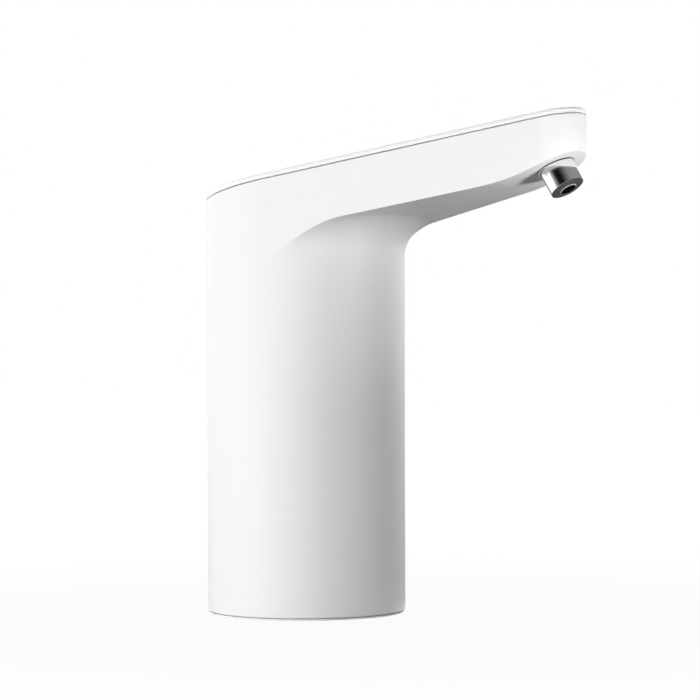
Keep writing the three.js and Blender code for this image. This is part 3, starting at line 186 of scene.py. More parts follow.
class SocketSettings(bpy.types.PropertyGroup):
    foot_radius: length("Foot radius", 34.3, "Radius of the foot ring")
    foot_height: length("Foot height", 0.5, "Thickness of the foot ring")
    cup_radius: length("Cup radius", 29.3, "Inner radius of the cup that holds the sleeve")
    cup_wall: length("Cup wall", 1.6, "Thickness of the cup")
    land_radius: length("Land radius", 32.3, "Radius of the land that centres the cup in the body")
    land_height: length("Land height", 4.5, "Height of that land")
    depth: length("Depth", 28.5, "Depth of the socket for the bottle's neck")
    rise: length("Rise", 2, "How much higher the middle of its ceiling is")
    ceiling: length("Ceiling", 3, "Thickness of the ceiling")
    stop_radius: length("Stop radius", 19.5, "Radius of the raised middle")
    sleeve_inner: length("Sleeve inner", 27.9, "Inner radius of the sleeve between its ribs")
    sleeve_wall: length("Sleeve wall", 1.1, "Thickness of the sleeve")
    rib: length("Rib", 0.5, "How far the sleeve's ribs stand in")
    rib_height: length("Rib height", 1.6, "Height of a rib")
    rib_pitch: length("Rib pitch", 7, "From rib to rib")
    sleeve_seat: length("Sleeve seat", 0.8, "How far the sleeve stands into a groove in the ceiling")
    screw_reach: length("Screw reach", 24.5, "From the body's axis to the screws")


class SpoutSettings(bpy.types.PropertyGroup):
    reach: length("Reach", 109.3, "From the body's axis to the middle of the outlet")
    height: length("Height", 145.097, "Height of the middle of the outlet")
    tilt: turn("Tilt", 32.5, "How far the spout leans from upright")
    radius: length("Radius", 5.78, "Outer radius of the spout tube")
    wall: length("Wall", 0.75, "Thickness of the tube")
    proud: length("Proud", 0.34, "How far the outlet piece stands out of the tube")
    lip: length("Lip", 0.34, "Height of the lip round the hole")
    tube: length("Tube", 12.6, "Length of the tube")
    collar_wall: length("Collar wall", 0.45, "Thickness of the collar round the tube")
    collar: length("Collar", 12.4, "Length of the collar along the tube")
    collar_start: length("Collar start", 6.15, "From the outlet to the collar's lower face")
    collar_slope: turn("Collar slope", 14.2, "Slope of the collar's lower face")
    collar_rise: length("Collar rise", 1.6, "How far the collar's lower face rises to both sides")
    groove: length("Groove", 0.35, "Height and depth of the groove where the collar meets the housing")
    bore: length("Bore", 2.2, "Radius of the hole in the outlet")
    mouth: length("Mouth", 2.7, "Radius of the hole where it opens at the outlet")
    lip_width: length("Lip width", 0.22, "Width of the lip round the hole")
    steel: colour("Steel", "#c6c7c8", "Colour of the stainless tube")
    insert: colour("Insert", "#444445", "Colour of the soft outlet piece")


class PortSettings(bpy.types.PropertyGroup):
    height: length("Height", 111.4, "Height of the charging port's middle")
    tall: length("Tall", 8, "Height of its cover")
    free_edge: length("Free edge", 7.6, "From the middle plane to the cover's free edge")
    hinge: length("Hinge", 8.6, "From the middle plane to the hinge")
    thick: length("Thick", 0.9, "Thickness of the cover")
    inset: length("Inset", 0.1, "How far the cover lies in from the body's face")
    corner: length("Corner", 1.3, "Rounding of the cover's corners")


class HoseSettings(bpy.types.PropertyGroup):
    radius: length("Radius", 4.5, "Outer radius of the hose")
    bore: length("Bore", 3, "Inner radius of the hose")
    start: length("Start", 14.1, "From the body's axis to the hose's start on the pump")
    height: length("Height", 40.9, "Height of the pump's outlet")
    rise: length("Rise", 27.5, "From the body's axis to the hose's upright run")
    drop: length("Drop", 5.6, "How far the hose runs below the lid's seam in the head")
    end: length("End", 3.4, "From the spout's outlet up to the hose's end")
    first_bend: length("First bend", 9.5, "Radius of the bend at the pump")
    head_bend: length("Head bend", 14, "Radius of the bend into the head")
    nose_bend: length("Nose bend", 9, "Radius of the bend down to the spout")


class StageSettings(bpy.types.PropertyGroup):
    eye: bpy.props.FloatVectorProperty(name="Eye", description="Place of the camera", size=3,
                                       default=(0.54381, -0.74984, 0.09043), subtype="XYZ", unit="LENGTH")
    heading: turn("Heading", 36.95, "How far the camera stands to the right of the object's side")
    pitch: turn("Pitch", 0.108, "How far it looks up")
    roll: turn("Roll", -0.211, "How far it is turned on its own axis")
    lens: bpy.props.FloatProperty(name="Lens", description="Focal length on a 36 mm sensor", default=138.29,
                                  subtype="DISTANCE_CAMERA", unit="CAMERA")
    level: share("Level", 1.0, "Strength of all lamps together")
    ambient: share("Ambient", 0.0, "Light that comes from all sides")
    floor: length("Floor", 3000, "Half the width of the floor")


# Materials

# Sockets of a Mix node that share their names: the factor, two values or two colours, and what comes out
FACTOR, VALUE_A, VALUE_B, COLOUR_A, COLOUR_B = 0, 2, 3, 6, 7
MIXED_VALUE, MIXED_COLOUR = 0, 2
CLOUD_SIZE = 12 * MM  # of the soft clouds in every finish


def add_node(tree, kind, inputs=None, **settings):
    """Adds a node with its settings; an input that is another node's socket is linked"""
    node = tree.nodes.new(kind)
    for name, value in settings.items():
        setattr(node, name, value)
    for name, value in (inputs or {}).items():
        if isinstance(value, bpy.types.NodeSocket):
            tree.links.new(value, node.inputs[name])
        else:
            node.inputs[name].default_value = value
    return node


def new_material(name):
    material = bpy.data.materials.new(name)
    material.use_nodes = True
    material.node_tree.nodes.clear()
    return material, material.node_tree


def surface(name, tint, roughness, grain, relief, metallic=0.0, ior=1.5, mottle=0.02, scuff=0.04):
    """A finish with a fine grain of that size and depth in millimetres, and soft clouds of tone and gloss"""
    if name in bpy.data.materials:
        return bpy.data.materials[name]
    material, tree = new_material(name)
    place = add_node(tree, "ShaderNodeTexCoord").outputs["Object"]
    fine = add_node(tree, "ShaderNodeTexNoise", {"Vector": place, "Scale": 1 / (grain * MM), "Detail": 3.0,
                                                 "Roughness": 0.6})
    soft = add_node(tree, "ShaderNodeTexNoise", {"Vector": place, "Scale": 1 / CLOUD_SIZE, "Detail": 2.0})
    speck = add_node(tree, "ShaderNodeMix", {FACTOR: 0.5, VALUE_A: fine.outputs["Fac"],
                                             VALUE_B: soft.outputs["Fac"]})
    darker, lighter = ((*[min(1, c * level) for c in tint], 1) for level in (1 - mottle, 1 + mottle))
    tone = add_node(tree, "ShaderNodeMix", {FACTOR: speck.outputs[MIXED_VALUE], COLOUR_A: darker,
                                            COLOUR_B: lighter}, data_type="RGBA")
    gloss = add_node(tree, "ShaderNodeMapRange", {"Value": soft.outputs["Fac"], "To Min": roughness - scuff,
                                                  "To Max": roughness + scuff})
    bump = add_node(tree, "ShaderNodeBump", {"Height": fine.outputs["Fac"], "Distance": relief * MM})
    shader = add_node(tree, "ShaderNodeBsdfPrincipled", {
        "Base Color": tone.outputs[MIXED_COLOUR], "Roughness": gloss.outputs[0], "Normal": bump.outputs[0],
        "Metallic": metallic, "IOR": ior})
    add_node(tree, "ShaderNodeOutputMaterial", {"Surface": shader.outputs[0]})
    return material


def shell_finish():
    # ABS, injection moulded in a lightly eroded mould: an even matt white with a fine grain. The real grain
    # is about 0.1 mm, which the picture can't show, so it is drawn at 0.45 mm
    tint = bpy.context.scene.pump_housing.shell
    return surface("abs_moulded_fine_grain", tint, 0.42, grain=0.45, relief=0.024, ior=1.53, mottle=0.03)


def cover_finish():
    # ABS, injection moulded in a polished mould: the same white with a soft sheen and hardly any grain
    tint = bpy.context.scene.pump_lid.cover
    return surface("abs_moulded_satin", tint, 0.3, grain=0.6, relief=0.002, ior=1.53, mottle=0.008)


def steel_finish():
    # Stainless steel tube, drawn and polished: clear, slightly softened reflections
    tint = bpy.context.scene.pump_spout.steel
    return surface("stainless_tube_polished", tint, 0.15, grain=0.3, relief=0.0006, metallic=1.0, mottle=0.03,
                   scuff=0.02)


def insert_finish():
    # Silicone, compression moulded, dark grey: dull, with a slight waxy sheen
    tint = bpy.context.scene.pump_spout.insert
    return surface("silicone_moulded_dark", tint, 0.5, grain=0.35, relief=0.004, ior=1.41, mottle=0.05)


def collar_shade_finish():
    # ABS, injection moulded: the lid's satin white, slightly duller, and drawn greyer as painted shade for the
    # shade the collar lies in under the head
    return surface("abs_collar_painted_shade", linear("#e4e4e4"), 0.4, grain=0.6, relief=0.002, ior=1.53,
                   mottle=0.008)


def lip_highlight_finish():
    # Silicone, compression moulded against the polished core, so a little glossier: the insert's dark silicone
    # drawn light grey as a painted highlight, a fine bright line on the lip round the hole
    return surface("silicone_lip_painted_highlight", linear("#bcbcbd"), 0.25, grain=0.35, relief=0.001, ior=1.41,
                   mottle=0.03)


def black_shade_finish():
    # Silicone, moulded, inside the bore: drawn almost black, with a dim shine, as painted shade for the dark depth
    # of the hole. It also paints the shade in the depth of the collar's groove
    return surface("silicone_painted_shade_black", linear("#050505"), 0.4, grain=0.35, relief=0.002, ior=1.41, mottle=0.05)


# Finishes of the pieces that the CAD model already shapes, by the record's material slot
CAD_FINISHES = {
    # Zinc on steel, plated in a barrel: a greyish shine with a faint mottle
    "zinc_steel": dict(name="steel_zinc_plated", tint="#9fa2a5", roughness=0.33, grain=0.4, relief=0.002,
                       metallic=1.0, mottle=0.05),
    # Stainless steel, turned: a clear shine, faintly broken
    "steel": dict(name="stainless_turned", tint="#b8babc", roughness=0.25, grain=0.25, relief=0.001,
                  metallic=1.0, mottle=0.04),
    # Brass, stamped: warm, a little dulled by handling
    "brass": dict(name="brass_stamped", tint="#c3a35c", roughness=0.33, grain=0.3, relief=0.002, metallic=1.0,
                  mottle=0.06),
    # Silicone, moulded, dark: dull seals
    "dark_rubber": dict(name="silicone_seal_dark", tint="#3e3f40", roughness=0.6, grain=0.3, relief=0.004,
                        ior=1.41),
    # Silicone, moulded, light grey: dull and a little dusty
    "grey_rubber": dict(name="silicone_moulded_grey", tint="#c9cac8", roughness=0.6, grain=0.35, relief=0.005,
                        ior=1.41, mottle=0.03),
    # Silicone, extruded, unpigmented: milky white with a soft sheen
    "clear_rubber": dict(name="silicone_extruded_milky", tint="#e4e6e3", roughness=0.38, grain=0.8,
                         relief=0.002, ior=1.41),
    # Glass-filled polypropylene, moulded: mid grey with a dry sheen
    "grey_plastic": dict(name="polypropylene_filled", tint="#8d9092", roughness=0.52, grain=0.5, relief=0.006),
    # Acetal, moulded, black: smooth and slightly greasy
    "black_plastic": dict(name="acetal_black", tint="#26272a", roughness=0.4, grain=0.5, relief=0.003,
                          ior=1.48),
    # Acetal, moulded, unpigmented: ivory and waxy
    "natural_plastic": dict(name="acetal_natural", tint="#e8e3d2", roughness=0.36, grain=0.6, relief=0.003,
                            ior=1.48),
    # Glass-epoxy laminate under solder mask: glossy green, slightly uneven
    "board_green": dict(name="laminate_solder_mask", tint="#1f5a3c", roughness=0.35, grain=0.35, relief=0.008,
                        ior=1.55, mottle=0.08),
    # Steel can in a shrunk PVC sleeve: smooth blue film
    "cell_wrap": dict(name="pvc_shrink_film", tint="#3f7f9c", roughness=0.3, grain=1.2, relief=0.004,
                      ior=1.53),
    # Ferrite, pressed and sintered: almost black and dry
    "ferrite": dict(name="ferrite_sintered", tint="#35363a", roughness=0.65, grain=0.3, relief=0.01),
    # Polycarbonate with a frosted face: pale and even, for the light ring and its lamp
    "ring_pale": dict(name="polycarbonate_frosted", tint="#e9eef0", roughness=0.45, grain=0.4, relief=0.003,
                      ior=1.58),
}


def slot_finish(slot):
    if slot == "shell_white":
        return shell_finish()
    if slot == "lid_white":
        return cover_finish()
    spec = dict(CAD_FINISHES[slot])
    return surface(spec.pop("name"), linear(spec.pop("tint")), **spec)


# Meshes

def skin(rings):
    """A closed body: every ring is joined to the next, and the last to the first"""
    count = len(rings[0])
    mesh = bmesh.new()
    points = [mesh.verts.new(point) for ring in rings for point in ring]
    for ring in range(len(rings)):
        after = (ring + 1) % len(rings)
        for i in range(count):
            j = (i + 1) % count
            mesh.faces.new((points[ring * count + i], points[ring * count + j], points[after * count + j],
                            points[after * count + i]))
    bmesh.ops.remove_doubles(mesh, verts=mesh.verts, dist=WELD)
    bmesh.ops.dissolve_degenerate(mesh, dist=WELD, edges=mesh.edges)
    bmesh.ops.recalc_face_normals(mesh, faces=mesh.faces)
    return mesh


def new_object(name, mesh):
    data = bpy.data.meshes.new(name)
    mesh.to_mesh(data)
    mesh.free()
    made = bpy.data.objects.new(name, data)
    bpy.context.scene.collection.objects.link(made)
    return made


def smooth(piece, angle=SHARP_ANGLE):
    piece.data.shade_smooth()
    piece.data.set_sharp_from_angle(angle=angle)
    weighted = piece.modifiers.new("even_shading", "WEIGHTED_NORMAL")
    weighted.keep_sharp = True
    weighted.weight = 80


def dress(piece, body, slot, nodes, material=None):
    """The piece takes its finish, rides on a body and stands for those nodes"""
    piece.data.materials.clear()
    piece.data.materials.append(material or slot_finish(slot))
    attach(piece, body)
    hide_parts(*nodes)
    return piece


def carve(piece, *tools, operation="DIFFERENCE"):
    """Cuts the tools out of the piece, or joins them to it, and removes them"""
    for tool in tools:
        cut = piece.modifiers.new("cut", "BOOLEAN")
        cut.operation = operation
        cut.solver = "EXACT"
        cut.object = tool
    graph = bpy.context.evaluated_depsgraph_get()
    carved = bpy.data.meshes.new_from_object(piece.evaluated_get(graph), depsgraph=graph)
    piece.modifiers.clear()
    piece.data = carved
    for tool in tools:
        bpy.data.objects.remove(tool)


def rounded(corners, steps=3):
    """A closed outline of (x, y, rounding) corners, with every corner that has a rounding drawn as an arc"""
    outline = []
    for i, (x, y, radius) in enumerate(corners):
        here = Vector((x, y))
        if not radius:
            outline.append(here)
            continue
        before = (Vector(corners[i - 1][:2]) - here).normalized()
        after = (Vector(corners[(i + 1) % len(corners)][:2]) - here).normalized()
        half = before.angle(after) / 2
        centre = here + (before + after).normalized() * radius / math.sin(half)
        first = here + before * radius / math.tan(half) - centre
        last = here + after * radius / math.tan(half) - centre
        start = math.atan2(first.y, first.x)
        sweep = (math.atan2(last.y, last.x) - start + math.pi) % math.tau - math.pi
        outline += [centre + Vector((math.cos(start + sweep * k / steps), math.sin(start + sweep * k / steps)))
                    * radius for k in range(steps + 1)]
    return outline


def revolve(name, profile, matrix, sides=ROUND_SIDES):
    """Turns (radius, height) points round the matrix's Z axis; a height may be a function of x and y there"""
    rings = []
    for radius, height in profile:
        ring = []
        for i in range(sides):
            x, y = radius * math.cos(math.tau * i / sides), radius * math.sin(math.tau * i / sides)
            ring.append(matrix @ Vector((x, y, height(x, y) if callable(height) else height)))
        rings.append(ring)
    return new_object(name, skin(rings))


def rod(radius, bottom, top, matrix=Matrix.Identity(4), sides=SMALL_SIDES):
    return revolve("tool", [(0, bottom), (radius, bottom), (radius, top), (0, top)], matrix, sides)


def prism(outline, bottom, top, matrix=Matrix.Identity(4)):
    """An upright prism on an outline of (x, y) points"""
    middle = sum(outline, Vector((0, 0))) / len(outline)
    rings = [[matrix @ Vector((*(middle.lerp(point, reach)), height)) for point in outline]
             for reach, height in ((0, bottom), (1, bottom), (1, top), (0, top))]
    return new_object("tool", skin(rings))


def rectangle(left, right, low, high):
    return [Vector(corner) for corner in ((left, low), (right, low), (right, high), (left, high))]


def slot_outline(half_width, half_height, corner):
    """A rounded slot as (across, up) points"""
    return rounded([(*point, corner) for point in rectangle(-half_width, half_width, -half_height, half_height)],
                   steps=8)


def quarter(rows=EDGE_ROWS):
    """The sines and cosines of a quarter turn in even steps"""
    turns = [math.pi / 2 * row / (rows - 1) for row in range(rows)]
    return [(math.sin(t), math.cos(t)) for t in turns]


def upright(height=0.0):
    return Matrix.Translation(BODY_AXIS + Vector((0, 0, height)))


def rear(height):
    """On the body's axis at that height, with Z to the rear and Y up"""
    return upright(height) @ Matrix(((0, 0, -1, 0), (-1, 0, 0, 0), (0, 1, 0, 0), (0, 0, 0, 1)))


# Form of the housing, drawn from the body's axis

class Form:
    """The outer face of housing and lid: outline, seam and underside, for the sizes in the settings"""

    def __init__(self, sizes):
        self.sizes = sizes
        self.tangent = math.acos((sizes.body_radius - sizes.nose_radius) / sizes.nose_reach)

    def seam(self, x):
        return self.sizes.seam_height + x * math.tan(self.sizes.head_slope)

    def underside(self, x):
        s = self.sizes
        level = self.seam(min(x, s.ramp_reach)) - s.head_depth
        if x <= s.ramp_reach:
            return level
        sine = math.sin(s.head_slope) + (x - s.ramp_reach) / s.ramp_blend
        if sine < math.sin(s.ramp_slope):
            return level + s.ramp_blend * (math.cos(s.head_slope) - math.sqrt(1 - sine * sine))
        reach = s.ramp_blend * (math.sin(s.ramp_slope) - math.sin(s.head_slope))
        rise = s.ramp_blend * (math.cos(s.head_slope) - math.cos(s.ramp_slope))
        return level + rise + (x - s.ramp_reach - reach) * math.tan(s.ramp_slope)

    def outline(self, inset=0.0):
        """Points round the plan, each with the outward direction of the wall there"""
        s = self.sizes
        body, nose = s.body_radius - inset, s.nose_radius - inset

        def spread(start, end, count):
            return [start + (end - start) * i / count for i in range(count)]

        def arc(x, radius, turns):
            return [(Vector((x + radius * math.cos(t), radius * math.sin(t))),
                     Vector((math.cos(t), math.sin(t)))) for t in turns]

        (start, out), = arc(0, body, [self.tangent])
        (end, _), = arc(s.nose_reach, nose, [self.tangent])
        throat = math.sqrt((s.body_radius + s.throat_radius) ** 2 - s.body_radius ** 2) / (end - start).length
        shares = spread(1, throat, RAMP_STEPS) + spread(throat, 0, THROAT_COLUMNS)
        half = arc(s.nose_reach, nose, spread(0, self.tangent, NOSE_STEPS))
        half += [(start.lerp(end, t), out) for t in shares]
        half += arc(0, body, spread(self.tangent, math.pi / 2, SHOULDER_STEPS))
        half += arc(0, body, spread(math.pi / 2, math.pi, BACK_STEPS))
        mirrored = [(Vector((p.x, -p.y)), Vector((o.x, -o.y))) for p, o in reversed(half[1:])]
        return half + arc(0, body, [math.pi]) + mirrored

    def seam_ring(self, inset, lift):
        return [BODY_AXIS + Vector((p.x, p.y, self.seam(p.x) + lift)) for p, _ in self.outline(inset)]

    def foot_ring(self, inset, height):
        ring = []
        for point, _ in self.outline():
            foot = point.normalized() * (self.sizes.foot_radius - inset)
            ring.append(BODY_AXIS + Vector((foot.x, foot.y, height)))
        return ring

    def underside_rings(self, inset, edge_rows, floor_rows, throat_rows, soften=False):
        """From the wall's lower edge in along the underside, and round the hollow blend to the body's side"""
        body = self.sizes.body_radius - inset
        blend = self.sizes.throat_radius + inset

        def height(point, distance):
            drop = blend - math.sqrt(max(0, blend ** 2 - (blend - distance) ** 2)) if distance < blend else 0
            return self.underside(point.x) + inset - drop

        columns = []
        for point, out in self.outline(inset):
            overhang = max(0, point.length - body)
            radius = self.edge_at(overhang) if soften else 0
            full = math.acos(1 - min(1, overhang / (blend + radius)))
            inner = point - out * radius * (1 - math.cos(full))
            reach = max(0, inner.length - body)
            low = height(inner, reach)
            column = []
            for row in range(edge_rows):
                t = full * row / edge_rows
                near = point - out * radius * (1 - math.cos(t))
                slope = self.underside(near.x) - self.underside(inner.x)
                column.append(Vector((*near, low + slope + radius * (math.sin(full) - math.sin(t)))))
            start = min(reach, blend)
            heading = inner.normalized()
            distances = [reach + (start - reach) * row / floor_rows for row in range(floor_rows)]
            sweep = math.acos(max(-1, 1 - start / blend))
            distances += [blend * (1 - math.cos(sweep * (1 - row / throat_rows)))
                          for row in range(throat_rows + 1)]
            for distance in distances:
                near = heading * (body + distance)
                column.append(Vector((*near, height(near, distance))))
            columns.append(column)
        return [[BODY_AXIS + column[row] for column in columns] for row in range(len(columns[0]))]

    def edge_at(self, overhang):
        """The rounding of the head's lower edge, which softens where the edge runs out into the body"""
        s = self.sizes
        t = min(1, overhang / s.fade_overhang)
        return s.edge_radius + (s.fade_radius - s.edge_radius) * (1 - t * t * (3 - 2 * t))


def lid_frame():
    """On top of the lid, on the body's axis, with Z square to the lid"""
    s = bpy.context.scene.pump_housing
    top = s.seam_height + bpy.context.scene.pump_lid.rise
    return upright(top) @ Matrix.Rotation(-s.head_slope, 4, "Y")


def spout_frame():
    """In the middle of the outlet, with Z up along the spout"""
    s = bpy.context.scene.pump_spout
    return upright(s.height) @ Matrix.Translation((s.reach, 0, 0)) @ Matrix.Rotation(-s.tilt, 4, "Y")


def hinge_x(context):
    s, port = context.scene.pump_housing, context.scene.pump_port
    return -math.sqrt((s.body_radius - port.inset - BARREL_RADIUS) ** 2 - port.hinge ** 2)


def hinge_frame(context):
    """In the middle of the charging cover's hinge, with Z up along its pin"""
    port = context.scene.pump_port
    return upright(port.height) @ Matrix.Translation((hinge_x(context), port.hinge, 0))


def port_outline(grow):
    """The charging cover's outline as (across, up) points, larger all round by that much"""
    s = bpy.context.scene.pump_port
    half = s.tall / 2 + grow
    left, right, corner = -s.free_edge - grow, s.hinge + grow, s.corner + grow
    corners = rounded([(left, -half, corner), (right, -half, SNUG), (right, half, SNUG), (left, half, corner)],
                      steps=6)
    points = []
    for start, end in zip(corners, corners[1:] + corners[:1]):
        parts = SIDE_PARTS if (end - start).length > s.corner else 1  # long sides follow the wall's curve
        points += [start.lerp(end, i / parts) for i in range(parts)]
    return points


def wall_ring(outline, depth, reach):
    """That outline, drawn in to that share of its size, on the body's rear wall at a depth in from its face"""
    radius = bpy.context.scene.pump_housing.body_radius - depth
    height = bpy.context.scene.pump_port.height
    return [BODY_AXIS + Vector((-math.sqrt(radius ** 2 - across ** 2), across, height + up))
            for across, up in (point * reach for point in outline)]


class PumpOperator:
    bl_options = {"REGISTER", "UNDO"}


class PUMP_OT_housing(PumpOperator, bpy.types.Operator):
    """Moulds the housing: upright body, hollow blend and tapered head"""
    bl_idname = "pump.housing"
    bl_label = "Housing"

    def execute(self, context):
        s = context.scene.pump_housing
        form = Form(s)
        top = -s.seam_gap / 2
        band = 3 * s.rim_radius  # where the rounded rims have passed into the wall
        rings = [form.seam_ring(s.rim_radius * (1 - sine), top - s.rim_radius * (1 - cosine))
                 for sine, cosine in quarter()]
        rings.append(form.seam_ring(0, top - band))
        under = form.underside_rings(0, EDGE_ROWS, FLOOR_ROWS, THROAT_ROWS, soften=True)
        rings.append([point + Vector((0, 0, s.edge_radius)) for point in under[0]])
        rings += under
        rings.append(form.foot_ring(0, s.foot_height + band))
        rings += [form.foot_ring(s.rim_radius * (1 - cosine), s.foot_height + s.rim_radius * (1 - sine))
                  for sine, cosine in quarter()]
        rings.append(form.foot_ring(s.wall, s.foot_height))
        rings += reversed(form.underside_rings(s.wall, 1, INNER_FLOOR_ROWS, INNER_THROAT_ROWS))
        rings.append(form.seam_ring(s.wall, top))
        shell = new_object("housing_shell", skin(rings))
        carve(shell, *self.holes(context))
        smooth(shell)
        dress(shell, "pump_unit", "shell_white", ["main_housing"])
        return {"FINISHED"}

    def holes(self, context):
        """The spout's hole, the charging cover's recess with its hinge and pin, and the window in it"""
        s, spout, port = context.scene.pump_housing, context.scene.pump_spout, context.scene.pump_port
        yield rod(spout.radius + spout.collar_wall + COLLAR_GAPS, 0, spout.collar + MM, spout_frame(), ROUND_SIDES)
        floor, recess = port.inset + port.thick + FIT, port_outline(FIT)
        yield new_object("tool", skin([wall_ring(recess, depth, reach) for depth, reaches in
                                       ((floor, (0, 0.5, 1)), (-MM, (1, 0.5, 0))) for reach in reaches]))
        half, clear = port.tall / 2 + FIT, BARREL_RADIUS + BARREL_GAP
        yield rod(clear, -half, half, hinge_frame(context))
        beside = rectangle(-port.hinge - clear, -port.hinge, -half, half)
        yield prism(beside, -hinge_x(context), s.body_radius + MM, rear(port.height))
        yield rod(PIN_RADIUS + SNUG, -half - PIN_BITE, half + PIN_BITE, hinge_frame(context))
        yield prism(slot_outline(*WINDOW), s.body_radius - 2 * s.wall, s.body_radius + MM, rear(port.height))


class PUMP_OT_lid(PumpOperator, bpy.types.Operator):
    """Moulds the lid with its skirt and the mouth for the button"""
    bl_idname = "pump.lid"
    bl_label = "Lid"

    def execute(self, context):
        s, lid = context.scene.pump_housing, context.scene.pump_lid
        form = Form(s)
        mouth = context.scene.pump_button.radius + FIT + context.scene.pump_button.ring_width + SNUG
        rings = [self.mouth_ring(form, mouth, -SNUG), self.mouth_ring(form, mouth + SNUG, 0)]
        rings += [form.seam_ring(lid.edge * (1 - sine), lid.rise - lid.edge * (1 - cosine))
                  for sine, cosine in quarter(EDGE_ROWS + 2)]
        bottom = s.seam_gap / 2
        rings += [form.seam_ring(s.rim_radius * (1 - cosine), bottom + s.rim_radius * (1 - sine))
                  for sine, cosine in quarter()]
        skirt = s.wall + FIT
        for inset, lift in ((skirt, bottom), (skirt, -lid.skirt_depth), (skirt + lid.skirt_wall, -lid.skirt_depth),
                            (skirt + lid.skirt_wall, bottom)):
            rings.append(form.seam_ring(inset, lift))
        rings.append(self.mouth_ring(form, mouth, (bottom - lid.rise) * math.cos(s.head_slope)))
        cover = new_object("lid_moulding", skin(rings))
        smooth(cover)
        dress(cover, "pump_unit", "lid_white", ["top_cover"])
        return {"FINISHED"}

    def mouth_ring(self, form, radius, height):
        place = lid_frame()
        return [place @ Vector((radius * point.x / point.length, radius * point.y / point.length, height))
                for point, _ in form.outline()]


class PUMP_OT_button(PumpOperator, bpy.types.Operator):
    """Moulds the push button and the light ring round it"""
    bl_idname = "pump.button"
    bl_label = "Button and Light Ring"

    def execute(self, context):
        b, lid = context.scene.pump_button, context.scene.pump_lid
        inner, outer = b.radius + FIT, b.radius + FIT + b.ring_width
        overlap, thick, edge = 1.2 * MM, 0.8 * MM, FINE_EDGE  # of the ring's flange under the lid
        flange = outer + overlap
        flange_top = -lid.rise * math.cos(context.scene.pump_housing.head_slope) - FIT
        flange_bottom = flange_top - thick
        ring = revolve("light_ring_moulding", rounded([
            (inner, flange_bottom, 0), (flange, flange_bottom, edge), (flange, flange_top, edge),
            (outer, flange_top, 0), (outer, 0, edge), (inner, 0, edge)]), lid_frame())
        smooth(ring)
        dress(ring, "pump_unit", "ring_pale", ["light_ring"])

        face = b.radius - 2 * b.edge
        dish = [(face * i / DISH_STEPS, -b.dish * (1 - (i / DISH_STEPS) ** 2)) for i in range(DISH_STEPS, -1, -1)]
        stem, stem_reach, collar, neck = 2 * MM, 2 * MM, 1 * MM, b.radius - b.cap
        collar_top = flange_bottom - FIT
        collar_bottom = collar_top - collar
        bottom = collar_bottom - stem_reach
        outline = rounded([
            (0, bottom, 0), (stem, bottom, edge), (stem, collar_bottom, edge), (b.flange, collar_bottom, edge),
            (b.flange, collar_top, edge), (neck, collar_top, edge), (neck, -b.cap, edge),
            (b.radius, -b.cap, edge), (b.radius, 0, b.edge)], 5)
        button = revolve("button_moulding", [*outline, *dish], lid_frame())
        smooth(button)
        dress(button, "button", "lid_white", ["power_button"])
        return {"FINISHED"}


